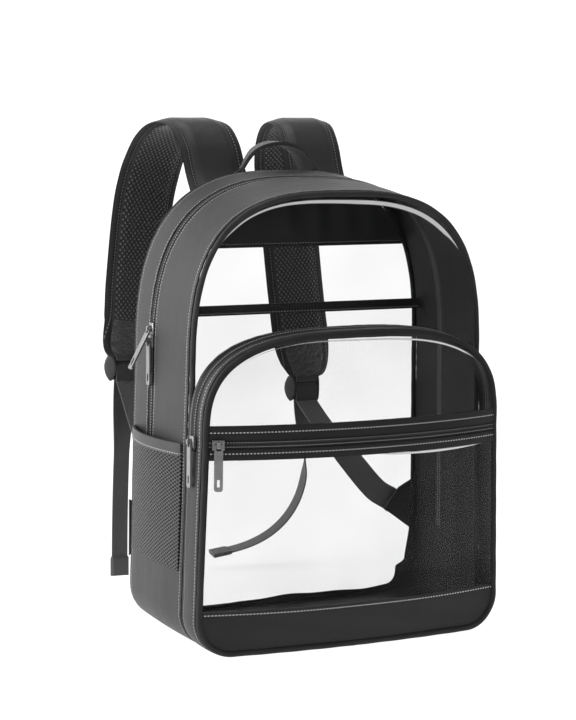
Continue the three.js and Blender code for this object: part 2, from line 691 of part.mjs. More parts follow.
for (const strap of strapSides) {
  const { name, side } = strap;
  const path = padPath(strap);
  add(`shoulder_pad_${name}`, 'fabric', strip(path, padSection));
  const end = path[path.length - 1].place;
  const lock = new THREE.Vector3(end.x, end.y, end.z - 2 * gap - loopHalfHeight);
  const loop = add(`lock_loop_${name}`, 'webbing', loopGeometry());
  loop.position.copy(lock);
  loop.quaternion.setFromRotationMatrix(new THREE.Matrix4().makeBasis(yAxis, zAxis, xAxis));
  const frame = add(`ladder_lock_${name}`, 'plastic', lockGeometry());
  frame.position.copy(lock);
  frame.rotation.x = Math.PI / 2;
  add(`strap_webbing_${name}`, 'webbing', strip(webbingPath(strap, lock), flatSection));

  const tip = new THREE.Vector2(halfWidth - patchTip.inset, patchTip.height);
  const outer = halfWidth - pipingSink;
  const slope = new THREE.Vector2(patchSlope.x, patchSlope.z).multiplyScalar(patchTipWidth / 2);
  const shape = new THREE.Shape([
    new THREE.Vector2(side * outer, patchBottom),
    new THREE.Vector2(side * outer, patchTop),
    new THREE.Vector2(side * (tip.x + slope.x), tip.y + slope.y),
    new THREE.Vector2(side * (tip.x - slope.x), tip.y - slope.y),
  ]);
  const patch = new THREE.ExtrudeGeometry(shape, { depth: cloth, bevelEnabled: false });
  const mesh = add(`corner_patch_${name}`, 'fabric', patch);
  mesh.rotation.x = Math.PI / 2;
  mesh.position.y = patchFace;
}

// Grab handle: webbing whose ends lie flat on the yoke and whose top stands edge-on above the rear seam.
// across is a share of its half span, down of its root, up of its rise and back of its way behind the yoke.
const handleRows = [
  { across: -1, down: 1, up: 0, back: 0 },
  { across: -1, down: 0.62, up: 0, back: 0.08 },
  { across: -1, down: 0.4, up: 0, back: 0.5 },
  { across: -0.99, down: 0.2, up: 0, back: 0.88 },
  { across: -0.96, down: 0, up: 0, back: 1 },
  { across: -0.6, down: 0, up: 0.74, back: 1 },
  { across: 0, down: 0, up: 1, back: 1 },
];
function handlePath() {
  const flatY = rearY + cloth / 2 + 2 * gap + handleThickness / 2;
  const topY = rearY + handleSetBack;
  const all = [...handleRows, ...handleRows.slice(0, -1).reverse().map((row) => ({ ...row, across: -row.across }))];
  const curve = new THREE.CatmullRomCurve3(all.map((row) => new THREE.Vector3(
    row.across * handleHalfSpan,
    lerp(flatY, topY, row.back),
    rearHeight + row.up * handleRise - row.down * handleRoot - handleThickness / 2,
  )), false, 'centripetal');
  const steps = 32;
  const path = [];
  for (let i = 0; i <= steps; i++) {
    const place = curve.getPointAt(i / steps);
    const turn = smooth(Math.abs(i / steps - 0.5) * 2, 0.57, 0.91);
    const side = i < steps / 2 ? 1 : -1;
    const across = new THREE.Vector3(side * turn, 1 - turn, 0).normalize();
    path.push({ place, across, half: handleWidth / 2, thick: handleThickness / 2 });
  }
  return path;
}
add('handle', 'webbing', strip(handlePath(), flatSection));

function solidOf(geometry) {
  const bare = geometry.clone();
  bare.deleteAttribute('normal');
  bare.deleteAttribute('uv');
  const merged = mergeVertices(bare, 1e-4);
  return new wasm.Manifold(new wasm.Mesh({
    numProp: 3,
    vertProperties: new Float32Array(merged.attributes.position.array),
    triVerts: new Uint32Array(merged.index.array),
  }));
}

function geometryOf(solid) {
  const mesh = solid.getMesh();
  const geometry = new THREE.BufferGeometry();
  geometry.setAttribute('position', new THREE.BufferAttribute(mesh.vertProperties, 3));
  geometry.setIndex(new THREE.BufferAttribute(mesh.triVerts, 1));
  geometry.computeVertexNormals();
  return geometry;
}

// Slider: x runs across the zip, y along it and z away from the bag. It straddles the closed teeth, and its
// bridge, which swivels on it by a turn about z, holds the pull's crossbar.
const plateBottom = teethRise + gap;
const plateTop = plateBottom + sliderPlate;
const pullAxis = plateTop + bridgeClear / 2;
function sliderGeometry(turn) {
  const [w, t] = [sliderWidth / 2, teethWidth / 2 + gap];
  const foot = gap - tapeDrop;
  const channel = new THREE.Shape([
    new THREE.Vector2(-w, foot), new THREE.Vector2(-t, foot),
    new THREE.Vector2(-t, plateBottom), new THREE.Vector2(t, plateBottom),
    new THREE.Vector2(t, foot), new THREE.Vector2(w, foot),
    new THREE.Vector2(w, plateTop - plateBevel.down), new THREE.Vector2(w - plateBevel.across, plateTop),
    new THREE.Vector2(-w + plateBevel.across, plateTop), new THREE.Vector2(-w, plateTop - plateBevel.down),
  ]);
  const body = new THREE.ExtrudeGeometry(channel, { depth: sliderLength, bevelEnabled: false });
  body.translate(0, 0, -sliderLength / 2).rotateX(Math.PI / 2);
  const [b, c] = [bridgeOuter / 2, bridgeOuter / 2 - bridgeBar];
  const high = plateTop + bridgeClear;
  const arch = new THREE.Shape([
    new THREE.Vector2(-b, plateTop - bridgeSink), new THREE.Vector2(-c, plateTop - bridgeSink),
    new THREE.Vector2(-c, high), new THREE.Vector2(c, high),
    new THREE.Vector2(c, plateTop - bridgeSink), new THREE.Vector2(b, plateTop - bridgeSink),
    new THREE.Vector2(b, high + bridgeBar - bridgeBevel), new THREE.Vector2(b - bridgeBevel, high + bridgeBar),
    new THREE.Vector2(-b + bridgeBevel, high + bridgeBar), new THREE.Vector2(-b, high + bridgeBar - bridgeBevel),
  ]);
  const bridge = new THREE.ExtrudeGeometry(arch, { depth: bridgeWidth, bevelEnabled: false });
  bridge.translate(0, 0, -bridgeWidth / 2);
  bridge.applyMatrix4(new THREE.Matrix4().makeBasis(yAxis, zAxis, xAxis)).rotateZ(turn);
  return geometryOf(solidOf(body).add(solidOf(bridge)));
}

// Pull: a flat tab that hangs from its crossbar at the origin, with an eye for the bridge and a slot near its end
function pullGeometry() {
  const [w, r] = [pullWidth / 2, pullCorner];
  const shape = new THREE.Shape();
  shape.moveTo(-w, -pullLength + r);
  shape.absarc(-w + r, -pullLength + r, r, Math.PI, 1.5 * Math.PI);
  shape.absarc(w - r, -pullLength + r, r, 1.5 * Math.PI, 2 * Math.PI);
  shape.lineTo(w, -pullEye.far - 2);
  shape.lineTo(w - pullWaist, pullEye.near);
  shape.lineTo(-w + pullWaist, pullEye.near);
  shape.lineTo(-w, -pullEye.far - 2);
  const holes = [
    [pullEye.half, -pullEye.near, -pullEye.far],
    [pullSlot.half, -pullSlot.start, -pullSlot.end],
  ];
  for (const [half, high, low] of holes) {
    shape.holes.push(new THREE.Path([
      new THREE.Vector2(-half, high), new THREE.Vector2(half, high),
      new THREE.Vector2(half, low), new THREE.Vector2(-half, low),
    ]));
  }
  const geometry = new THREE.ExtrudeGeometry(shape, { depth: pullThickness, bevelEnabled: false, curveSegments: 3 });
  return geometry.translate(0, 0, -pullThickness / 2);
}

// Places a slider and its pull. out points away from the bag, along is the zip's way, and down is the pull's.
function slider(name, place, out, along, down) {
  const across = along.clone().cross(out);
  const turn = Math.abs(along.z) > Math.abs(down.z) / 2 ? 0 : Math.PI / 2;
  const body = add(`${name}_slider`, 'metal', sliderGeometry(turn));
  body.position.copy(place);
  body.quaternion.setFromRotationMatrix(new THREE.Matrix4().makeBasis(across, along, out));
  const pull = add(`${name}_pull`, 'metal', pullGeometry());
  pull.position.copy(place).addScaledVector(out, pullAxis);
  const up = down.clone().negate();
  const wide = up.clone().cross(out).normalize();
  pull.quaternion.setFromRotationMatrix(new THREE.Matrix4().makeBasis(wide, up, wide.clone().cross(up)));
}

// On a side wall, square to the bag's own axes so that the pulls hang plumb
const leftOut = new THREE.Vector3(-1, 0, 0);
const plumb = zAxis.clone().negate();
const swing = THREE.MathUtils.degToRad(upperPullSwing);
const swung = plumb.clone().multiplyScalar(Math.cos(swing)).addScaledVector(leftOut, Math.sin(swing));
const zipPlace = (point, form, height) => point(8 - uAtHeight(form, height));
const onMainZip = (height) => zipPlace((u) => wallPoint(u, zipShare, 0), frontForm, height);
slider('main_upper', onMainZip(upperSliderHeight), leftOut, zAxis, swung);
slider('main_lower', onMainZip(upperSliderHeight - sliderLength - gap), leftOut, zAxis, plumb);
const onPocketZip = zipPlace((u) => pocketWallPoint(u, pocketZipShare, 0), pocketForm, pocketSliderHeight);
slider('pocket', onPocketZip, leftOut, zAxis, plumb);
const frontX = -halfWidth + frontSliderInset;
const onFrontZip = (x) => new THREE.Vector3(x, pocketFace(x, frontZipHeight), frontZipHeight);
const reach = sliderLength / 2;
const frontEnds = [onFrontZip(frontX - reach), onFrontZip(frontX + reach)];
const frontAlong = frontEnds[1].clone().sub(frontEnds[0]).normalize();
slider('front', frontEnds[0].lerp(frontEnds[1], 0.5), frontAlong.clone().cross(zAxis), frontAlong, plumb);

export default bag;
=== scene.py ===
import math

import bpy
import numpy as np
from mathutils import Matrix, Vector


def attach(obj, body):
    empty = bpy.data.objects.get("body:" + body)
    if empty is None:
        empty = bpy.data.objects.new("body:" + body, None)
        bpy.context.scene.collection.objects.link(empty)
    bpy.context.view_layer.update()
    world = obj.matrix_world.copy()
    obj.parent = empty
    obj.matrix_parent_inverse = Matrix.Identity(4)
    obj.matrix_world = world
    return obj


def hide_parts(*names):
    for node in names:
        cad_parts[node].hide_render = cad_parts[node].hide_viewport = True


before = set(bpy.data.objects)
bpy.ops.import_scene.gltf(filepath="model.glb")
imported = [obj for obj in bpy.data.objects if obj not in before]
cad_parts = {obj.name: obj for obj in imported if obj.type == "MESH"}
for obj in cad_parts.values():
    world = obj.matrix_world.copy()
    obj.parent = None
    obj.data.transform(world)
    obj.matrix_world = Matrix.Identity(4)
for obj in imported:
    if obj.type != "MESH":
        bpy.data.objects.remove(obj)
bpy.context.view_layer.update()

# The studio: a white floor and a white wall far behind, a wide soft light on the bag's left, and weaker ones
# above it and in front, where the room is dark. The camera stands low, in front of the bag's left corner.
camera_data = bpy.data.cameras.new("camera")
camera = bpy.data.objects.new("camera", camera_data)
bpy.context.scene.collection.objects.link(camera)
bpy.context.scene.camera = camera
camera_data.sensor_width = 36
camera_data.lens = 110.6
camera_place = (-0.9315, -1.8996, 0.5451)
turned, raised, rolled = np.radians([-25.59, 7.793, 0.814])
back = Vector((math.sin(turned) * math.cos(raised), -math.cos(turned) * math.cos(raised), math.sin(raised)))
right = Vector((math.cos(turned), math.sin(turned), 0))
up = back.cross(right)
tilted_right = right * math.cos(rolled) + up * math.sin(rolled)
tilted_up = up * math.cos(rolled) - right * math.sin(rolled)
facing = Matrix((tilted_right, tilted_up, back)).transposed()
camera.matrix_world = Matrix.Translation(camera_place) @ facing.to_4x4()

world = bpy.data.worlds.new("surround")
bpy.context.scene.world = world
world.use_nodes = True
world.node_tree.nodes["Background"].inputs["Color"].default_value = (1, 1, 1, 1)
world.node_tree.nodes["Background"].inputs["Strength"].default_value = 0.35
bpy.context.scene.view_settings.view_transform = "Standard"

lit_point = Vector((0, 0.02, 0.25))
studio_lights = [
    # name, place and size in metres, power in watts
    ("left_light", (-1.5, 0.45, 0.75), 1.3, 30),
    ("top_light", (-0.1, 0.2, 1.7), 1.0, 8),
    ("front_light", (0.9, -1.6, 0.9), 0.9, 2),
]
for light_name, light_place, light_size, light_power in studio_lights:
    lamp = bpy.data.lights.new(light_name, "AREA")
    lamp.size = light_size
    lamp.energy = light_power
    holder = bpy.data.objects.new(light_name, lamp)
    holder.location = light_place
    holder.rotation_euler = (Vector(light_place) - lit_point).to_track_quat("Z", "Y").to_euler()
    bpy.context.scene.collection.objects.link(holder)


def join(tree, value, slot):
    """Puts a number, a colour or another socket into an input socket."""
    if isinstance(value, Wire):
        tree.links.new(value.socket, slot)
    else:
        slot.default_value = value


class Wire:
    """A shader socket that takes part in arithmetic: each operator adds one Math node."""

    def __init__(self, tree, socket):
        self.tree = tree
        self.socket = socket

    def math(self, operation, *others):
        """One Math node on this socket and the others, in that order."""
        node = self.tree.nodes.new("ShaderNodeMath")
        node.operation = operation
        for slot, value in zip(node.inputs, (self, *others)):
            join(self.tree, value, slot)
        return Wire(self.tree, node.outputs[0])

    def __add__(self, other):
        return self.math("ADD", other)

    __radd__ = __add__

    def __mul__(self, other):
        return self.math("MULTIPLY", other)

    __rmul__ = __mul__

    def __sub__(self, other):
        return self.math("SUBTRACT", other)

    def __rsub__(self, other):
        return self * -1 + other

    def __truediv__(self, other):
        return self.math("DIVIDE", other)

    def __lt__(self, other):
        return self.math("LESS_THAN", other)

    def __abs__(self):
        return self.math("ABSOLUTE")

    def clamped(self):
        """The value held between 0 and 1."""
        return self.math("MINIMUM", 1).math("MAXIMUM", 0)

    def wave(self, pitch):
        """A sine wave of that pitch, from -1 to 1."""
        return (self * (2 * math.pi / pitch)).math("SINE")


class Finish:
    """A node material: node() adds a node, and the shader is a Principled one with constant sockets."""

    def __init__(self, name, **constants):
        self.material = bpy.data.materials.new(name)
        self.material.use_nodes = True
        self.tree = self.material.node_tree
        self.tree.nodes.clear()
        sockets = {key.replace("_", " "): value for key, value in constants.items()}
        self.shader = self.node("ShaderNodeBsdfPrincipled", {}, sockets)
        surface = Wire(self.tree, self.shader.outputs[0])
        self.node("ShaderNodeOutputMaterial", {}, {"Surface": surface})

    def node(self, kind, settings, sockets):
        """Adds a node, sets its settings first and then its sockets."""
        node = self.tree.nodes.new(kind)
        for key, value in settings.items():
            setattr(node, key, value)
        for key, value in sockets.items():
            join(self.tree, value, node.inputs[key])
        return node

    def give(self, **links):
        """Links values that vary over the surface to the shader."""
        for key, value in links.items():
            join(self.tree, value, self.shader.inputs[key.replace("_", " ")])

    def cloth_place(self):
        """Millimetres along and across the piece, from its UV map."""
        uv = self.node("ShaderNodeUVMap", {"uv_map": "cloth"}, {})
        axes = self.node("ShaderNodeSeparateXYZ", {}, {"Vector": Wire(self.tree, uv.outputs[0])})
        return [Wire(self.tree, axes.outputs[i]) * 1000 for i in (0, 1)]

    def noise(self, scale, detail=3.0, stretch=(1, 1, 1)):
        """Noise over the object, in features per metre."""
        coordinates = self.node("ShaderNodeTexCoord", {}, {})
        place = Wire(self.tree, coordinates.outputs["Object"])
        mapping = self.node("ShaderNodeMapping", {}, {"Vector": place, "Scale": stretch})
        sockets = {"Vector": Wire(self.tree, mapping.outputs[0]), "Scale": scale, "Detail": detail}
        return Wire(self.tree, self.node("ShaderNodeTexNoise", {}, sockets).outputs[0])

    def mix(self, mask, low, high):
        """The colour low where mask is 0 and high where it is 1."""
        node = self.node("ShaderNodeMix", {"data_type": "RGBA"}, {})
        for index, value in ((0, mask), (6, low), (7, high)):
            join(self.tree, value, node.inputs[index])
        return Wire(self.tree, node.outputs[2])

    def bump(self, height, distance, strength=1.0):
        """A Bump node whose height 1 stands for distance in metres."""
        sockets = {"Height": height, "Distance": distance, "Strength": strength}
        return Wire(self.tree, self.node("ShaderNodeBump", {}, sockets).outputs[0])


def grey(value):
    """A neutral colour."""
    return (value, value, value, 1)


floor_half, wall_far, wall_high = 30, 12, 14
stage_sheets = {
    "floor": ((-floor_half, 0), (floor_half, 0)),
    "backdrop": ((wall_far, 0), (wall_far, wall_high)),
}
paper = Finish("studio_paper", Roughness=0.9, Specular_IOR_Level=0.1, Emission_Strength=1.0)
paper_place = Wire(paper.tree, paper.node("ShaderNodeTexCoord", {}, {}).outputs["Object"])
paper_axes = paper.node("ShaderNodeSeparateXYZ", {}, {"Vector": paper_place})
# The paper glows behind y = -0.6 m and is dark before y = -1 m, on the camera's side.
paper_lit = (Wire(paper.tree, paper_axes.outputs[1]) * 2.5 + 2.5).clamped()
paper.give(Base_Color=paper.mix(paper.noise(3), grey(0.24), grey(0.26)),
           Emission_Color=paper.mix(paper_lit, grey(0), grey(1)))
for sheet_name, ((y0, z0), (y1, z1)) in stage_sheets.items():
    corners = [(-floor_half, y0, z0), (floor_half, y0, z0), (floor_half, y1, z1), (-floor_half, y1, z1)]
    sheet_mesh = bpy.data.meshes.new(sheet_name)
    sheet_mesh.from_pydata(corners, [], [(0, 1, 2, 3)])
    sheet_mesh.materials.append(paper.material)
    sheet_object = bpy.data.objects.new(sheet_name, sheet_mesh)
    bpy.context.scene.collection.objects.link(sheet_object)

# The bag's side wall: coated fabric cut in three, a rear and a front strip on either side of the zip, and the
# base, which comes up both sides. Each is sewn into the corded seams and puckers along its stitches.
half_width = 158
corner_radius = 35
rear_form = {"height": 436, "high": 154.5, "crown": 250, "power": 2.85}
front_form = {"height": 423, "high": 152, "crown": 250, "power": 3}
rear_y, front_y = 65, -65
base_top = 77
cloth = 2


def outline(form, u):
    """The bag's front view: u 0 to 1 is the flat foot, to 2 a quarter circle, to 3 the straight side, to 4 a
    superellipse x^p + z^p = 1 up to the middle of the top, and 4 to 8 the same down the other side."""
    turn = np.mod(u, 8)
    side = np.where(turn > 4, -1, 1)
    s = np.where(turn > 4, 8 - turn, turn)
    corner = (s - 1) * math.pi / 2
    crown = np.clip(s - 3, 0, 1) * math.pi / 2
    foot = half_width - corner_radius
    power = 2 / form["power"]
    stretches = [s <= 1, s <= 2, s <= 3]
    side_z = corner_radius + (form["crown"] - corner_radius) * (s - 2)
    x = np.select(
        stretches,
        [s * foot, foot + corner_radius * np.sin(corner), half_width + (form["high"] - half_width) * (s - 2)],
        form["high"] * np.maximum(np.cos(crown), 0) ** power,
    )
    z = np.select(
        stretches,
        [0 * s, corner_radius * (1 - np.cos(corner)), side_z],
        form["crown"] + (form["height"] - form["crown"]) * np.sin(crown) ** power,
    )
    return side * x, z


def inset(forms, share, u, depth):
    """The outline between two forms, moved inwards by depth along its normal."""
    def between(v):
        (x0, z0), (x1, z1) = outline(forms[0], v), outline(forms[1], v)
        return x0 + (x1 - x0) * share, z0 + (z1 - z0) * share

    (x, z), (xa, za), (xb, zb) = between(u), between(u - 0.004), between(u + 0.004)
    length = np.hypot(xb - xa, zb - za)
    return x - depth * (zb - za) / length, z + depth * (xb - xa) / length


def even_steps(form, start, end, step):
    """Values of u from start to end that lie equal lengths of outline apart, and those lengths."""
    u = np.linspace(start, end, 6001)
    x, z = outline(form, u)
    length = np.concatenate([[0], np.cumsum(np.hypot(np.diff(x), np.diff(z)))])
    count = int(length[-1] / step) + 1
    along = np.linspace(0, length[-1], count)
    return np.interp(along, length, u), along


def u_at_height(form, height):
    """The u on the right side where the outline has that height."""
    u = np.linspace(0.5, 4, 6001)
    return float(np.interp(height, outline(form, u)[1], u))


def smoothly(x, low, high):
    """0 below low, 1 above high and a smooth rise between, t^2 (3 - 2t)."""
    t = np.clip((x - low) / (high - low), 0, 1)
    return t * t * (3 - 2 * t)


def wall(u, v, drop):
    """The main side wall, from v 0 at the rear seam to 1 at the front one. Its sides swell by 3 mm, as
    4v (1 - v)."""
    s = np.minimum(np.mod(u, 8), 8 - np.mod(u, 8))
    swell = 3 * 4 * v * (1 - v) * smoothly(s, 1, 2) * (1 - smoothly(s, 3, 3.7))
    x, z = inset((rear_form, front_form), v, u, drop - swell)
    return np.stack([x, rear_y + (front_y - rear_y) * v + 0 * x, z], axis=-1)


def round_hem(thickness, count):
    """The closed section of a flat strip: the outer run, a half round edge, the inner run and an edge. Gives
    how far an edge's points stand out, r cos a, and how deep every point is, r - r sin a at the edges."""
    r = thickness / 2
    edge = np.linspace(math.pi / 2, -math.pi / 2, 6)[1:-1]
    run = np.zeros(count)
    deep = np.concatenate([run, r - r * np.sin(edge), run + thickness, r + r * np.sin(edge)])
    return r * np.cos(edge), deep


def hem_profile(start, end, thickness, count):
    """A hemmed strip between two distances: how far across each point of its section is, and how deep."""
    r = thickness / 2
    out, deep = round_hem(thickness, count)
    outer = np.linspace(start + r, end - r, count)
    return np.concatenate([outer, end - r + out, outer[::-1], start + r - out]), deep


def pucker(along, across, edges, size=0.35, seed=0.0):
    """Outward waves of cloth: short ones that die out within 7 mm of each sewn edge, and long slow ones."""
    near = sum(np.exp(-((across - edge) / 7.0) ** 2) for edge in edges)
    short = np.sin(along / 1.9 + 2.1 * np.sin(along / 23.0 + seed)) + 0.6 * np.sin(along / 3.3 + seed * 2)
    slow = np.sin(along / 41.0 + across / 19.0 + seed) * np.sin(across / 31.0 - along / 67.0 + 2 * seed)
    return size * near * short * 0.5 + 0.8 * slow


def solid_from_rings(name, rings, uv, finishes, closed=False, finish_of=None):
    """A mesh from rings of points in millimetres, shape (rings, points, 3), each ring closed on itself.
    An open row of rings gets ends made of quads from one long side of the ring to the other."""
    count, size = rings.shape[:2]
    spans = count if closed else count - 1
    i, j = np.meshgrid(np.arange(spans), np.arange(size), indexing="ij")
    i2, j2 = (i + 1) % count, (j + 1) % size
    faces = np.stack([i * size + j, i * size + j2, i2 * size + j2, i2 * size + j], axis=-1).reshape(-1, 4)
    uv_at = [(i, j), (i, j + 1), (i + 1, j + 1), (i + 1, j)]
    corners = np.stack([uv[a, b] for a, b in uv_at], axis=2).reshape(-1, 4, 2)
    kinds = np.zeros(len(faces), int) if finish_of is None else finish_of[j].reshape(-1)
    if not closed:
        near = np.arange(size // 2 - 1)
        cap = np.stack([near, size - 1 - near, size - 2 - near, near + 1], axis=-1)
        last = (count - 1) * size
        faces = np.concatenate([faces, cap, (cap + last)[:, ::-1]])
        corners = np.concatenate([corners, uv[0][cap], uv[-1][cap[:, ::-1]]])
        kinds = np.concatenate([kinds, np.full(2 * len(cap), kinds[0])])
    points = rings.reshape(-1, 3)
    a, b, c, d = (points[faces[:, k]] for k in range(4))
    volume = np.sum(a * np.cross(b, c)) + np.sum(a * np.cross(c, d))
    if volume < 0:
        faces, corners = faces[:, ::-1], corners[:, ::-1]
    mesh = bpy.data.meshes.new(name)
    mesh.vertices.add(len(points))
    mesh.vertices.foreach_set("co", (points / 1000).ravel())
    mesh.loops.add(faces.size)
    mesh.loops.foreach_set("vertex_index", faces.ravel())
    mesh.polygons.add(len(faces))
    mesh.polygons.foreach_set("loop_start", np.arange(0, faces.size, 4))
    mesh.polygons.foreach_set("material_index", kinds)
    mesh.update(calc_edges=True)
    layer = mesh.uv_layers.new(name="cloth")
    layer.data.foreach_set("uv", (corners / 1000).ravel())
    mesh.shade_smooth()
    mesh.set_sharp_from_angle(angle=math.radians(60))
    piece = bpy.data.objects.new(name, mesh)
    bpy.context.scene.collection.objects.link(piece)
    for finish in finishes:
        mesh.materials.append(finish.material)
    return piece


def ring_uv(along, across):
    """UV values in millimetres for rings: along each row and across each ring, which closes on its start."""
    across = np.broadcast_to(across, (len(along), np.shape(across)[-1]))
    across = np.concatenate([across, across[:, :1]], axis=1)
    return np.stack([np.broadcast_to(along[:, None], across.shape), across], axis=-1)


def coated_cloth(name, tone, stitches=(), thread=0.32, shine=0.5):
    """Woven fabric with a soft coating: a fine weave and a leathery grain, with rows of stitches at given
    distances across. A stitch is a 1.9 mm dash in a shallow groove."""
    finish = Finish(name, Roughness=shine, Specular_IOR_Level=0.3)
    along, across = finish.cloth_place()
    weave = (along * 7.4).math("SINE") * (across * 7.4).math("SINE")
    grain = finish.noise(900, 4)
    blotch = finish.noise(26, 2)
    folds = finish.noise(30, 2, stretch=(1, 1, 0.35))
    height = weave * 0.08 + grain * 0.45 + finish.noise(190, 2) * 0.6 + folds * 9
    dash = (along / 3.2).math("FRACT") < 0.58
    color = finish.mix(blotch * 0.7 + grain * 0.3, grey(tone * 0.78), grey(tone * 1.22))
    for line in stitches:
        away = abs(across - line)
        groove = (1 - away / 1.3).math("MAXIMUM", 0)
        mask = (away < 0.5) * dash
        height = height - groove * 1.6 + mask * 1.5
        color = finish.mix(mask, color, grey(thread))
    rough = grain * 0.2 + (shine - 0.1)
    finish.give(Base_Color=color, Roughness=rough, Normal=finish.bump(height, 0.0003, 0.6))
    return finish


backing = Finish("cloth_backing", Roughness=0.6, Specular_IOR_Level=0.2)
backing.give(Base_Color=backing.mix(backing.noise(30, 2), grey(0.006), grey(0.011)),
             Normal=backing.bump(backing.noise(60, 2) + backing.noise(900) * 0.15, 0.0012, 0.6))


def inner_run(count):
    """Marks the inner run of a hem profile's points, whose outer run has that count, with 1."""
    marks = np.zeros(2 * count + 8, int)
    marks[count + 3:-2] = 1
    return marks


def in_bag(piece, slot, *nodes):
    """The piece moves with the bag, and stands for these nodes of the CAD model."""
    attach(piece, "bag")
    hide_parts(*nodes)


main_depth = rear_y - front_y
rear_edge, front_edge = 2.0, main_depth - 2.4
zip_middle = 0.37 * main_depth
zip_half = 6
zip_gap = zip_half + 0.4
zip_stitch = zip_half + 2.6
seam_stitch = 4
wall_tone = 0.028
u_base = u_at_height(front_form, base_top)
upper_u, upper_along = even_steps(rear_form, u_base + 0.001, 8 - u_base - 0.001, 2.0)
base_u, base_along = even_steps(rear_form, -u_base, u_base, 2.0)


def wall_piece(name, u, along, start, end, stitches, seed):
    """One strip of the side wall, between two distances from the rear seam."""
    across, deep = hem_profile(start, end, cloth, 26)
    waves = pucker(along[:, None], across[None, :], (start, end), seed=seed)
    waves = waves * np.clip((np.abs(outline(rear_form, u)[1])[:, None] - 2) / 30, 0, 1)
    rings = wall(u[:, None], across[None, :] / main_depth, deep[None, :] - waves * 0.6)
    finishes = [coated_cloth(f"{name}_cloth", wall_tone, stitches), backing]
    return solid_from_rings(name, rings, ring_uv(along, across), finishes, finish_of=inner_run(26))


wall_strips = (
    ("side_wall_rear", upper_u, upper_along, rear_edge, zip_middle - zip_gap,
     (rear_edge + seam_stitch, zip_middle - zip_stitch), 0.3, "gusset_rear_strip"),
    ("side_wall_front", upper_u, upper_along, zip_middle + zip_gap, front_edge,
     (zip_middle + zip_stitch, front_edge - seam_stitch), 1.7, "gusset_front_strip"),
    ("base_cloth", base_u, base_along, rear_edge, front_edge,
     (rear_edge + seam_stitch, front_edge - seam_stitch), 2.9, "base_panel"),
)
for *strip, node in wall_strips:
    in_bag(wall_piece(*strip), "fabric", node)

# The main zip: a coil zip sewn in with its coil on the inside, so that the two woven tapes meet in a narrow
# groove. It runs up one side, over the top and down the other.


def zip_profile(width):
    """Across a closed zip: flat tape 1 mm below the cloth's face, and two round lips 4.6 mm wide in all that
    meet in a groove, over a flat inner side 2 mm deep."""
    outer = np.concatenate([
        np.linspace(-width / 2, -2.9, 5), np.linspace(-2.5, -0.12, 9), [0], np.linspace(0.12, 2.5, 9),
        np.linspace(2.9, width / 2, 5),
    ])
    lip = np.clip(1 - ((np.abs(outer) - 1.25) / 1.3) ** 2, 0, 1) ** 0.5
    deep = 1.0 - 1.4 * lip
    across = np.concatenate([outer, outer[::-1]])
    return across, np.concatenate([deep, 0 * outer + cloth])


zip_tone = 0.022


def zip_cloth(name):
    """Zip tape: fine ribs across the lips 1.3 mm apart, a herringbone on the flat tape, and a stitch row."""
    finish = Finish(name, Roughness=0.6, Specular_IOR_Level=0.25)
    along, across = finish.cloth_place()
    lips = abs(across) < 2.5
    ribs = along.wave(1.3)
    twill = (along * 6 + across * 6).math("SINE")
    height = lips * ribs * 0.5 + (1 - lips) * twill * 0.2
    dash = (along / 2.6).math("FRACT") < 0.55
    row = (abs(abs(across) - 2.05) < 0.28) * dash
    # Painted highlight: the lips are painted up to 1.9 times the tape's tone, and lighter on each rib's
    # crest.
    color = finish.mix(lips * 0.7 + ribs * 0.15, grey(zip_tone * 0.7), grey(zip_tone * 1.9))
    color = finish.mix(row, color, grey(0.36))
    finish.give(Base_Color=color, Normal=finish.bump(height, 0.0004, 0.8))
    return finish


def zip_tape(name, cloth_name, rings, along, across, node):
    """A closed zip as a piece of the bag."""
    in_bag(solid_from_rings(name, rings, ring_uv(along, across), [zip_cloth(cloth_name)]), "trim", node)


zip_across, zip_deep = zip_profile(2 * zip_half + 1.6)
zip_rings = wall(upper_u[:, None], (zip_middle + zip_across[None, :]) / main_depth, zip_deep[None, :])
zip_tape("main_zip_tape", "zip_tape", zip_rings, upper_along, zip_across, "main_zip")

# Three corded seams: a fabric strip folded round a cord and sewn in along the rear seam, the front seam and
# the pocket's front seam. The fold shows fine slanting drag lines.
pocket_depth = 33
pocket_form = {"height": 297, "high": 153.2, "crown": 200, "power": 3}
pocket_y = front_y - pocket_depth
cord_inset = 0.3


def pocket_seam(x):
    """The pocket's front seam, y = -98 - 11 (1 - (x/158)^2): it bows forwards at the middle."""
    return pocket_y - 11 * (1 - np.minimum(np.abs(x) / half_width, 1) ** 2)


def piping_cloth(name, tone):
    """Bias tape round a cord: slanting drag lines over a fine grain."""
    finish = Finish(name, Roughness=0.65, Specular_IOR_Level=0.15)
    along, across = finish.cloth_place()
    drag = (along * 1.3 + across * 2.2).math("SINE") * finish.noise(60)
    grain = finish.noise(900, 4)
    color = finish.mix(finish.noise(40, 2), grey(tone * 0.75), grey(tone * 1.3))
    finish.give(Base_Color=color, Normal=finish.bump(drag * 0.5 + grain * 0.4, 0.0004, 0.7))
    return finish


def piping(name, form, radius, seam_y, tone):
    """A round cord along an outline, a circle of that radius carried along it."""
    u, along = even_steps(form, 0, 8, 2.0)
    u, length = u[:-1], along[-1]
    angle = np.arange(18) / 18 * 2 * math.pi
    wobble = 1 + 0.03 * np.sin(along[:-1, None] / 5.0 + 2 * angle[None, :])
    depth = cord_inset + radius - radius * np.cos(angle)[None, :] * wobble
    x, z = inset((form, form), 0, u[:, None], depth)
    middle = inset((form, form), 0, u[:, None], cord_inset + radius)[0]
    y = seam_y(middle) + radius * np.sin(angle)[None, :] * wobble
    rings = np.stack([x, y + 0 * x, z], axis=-1)
    across = np.append(angle, 2 * math.pi) * radius
    uv = np.stack(np.broadcast_arrays(along[:, None], across[None, :]), axis=-1)
    return solid_from_rings(name, rings, uv, [piping_cloth(f"{name}_cloth", tone)], closed=True)


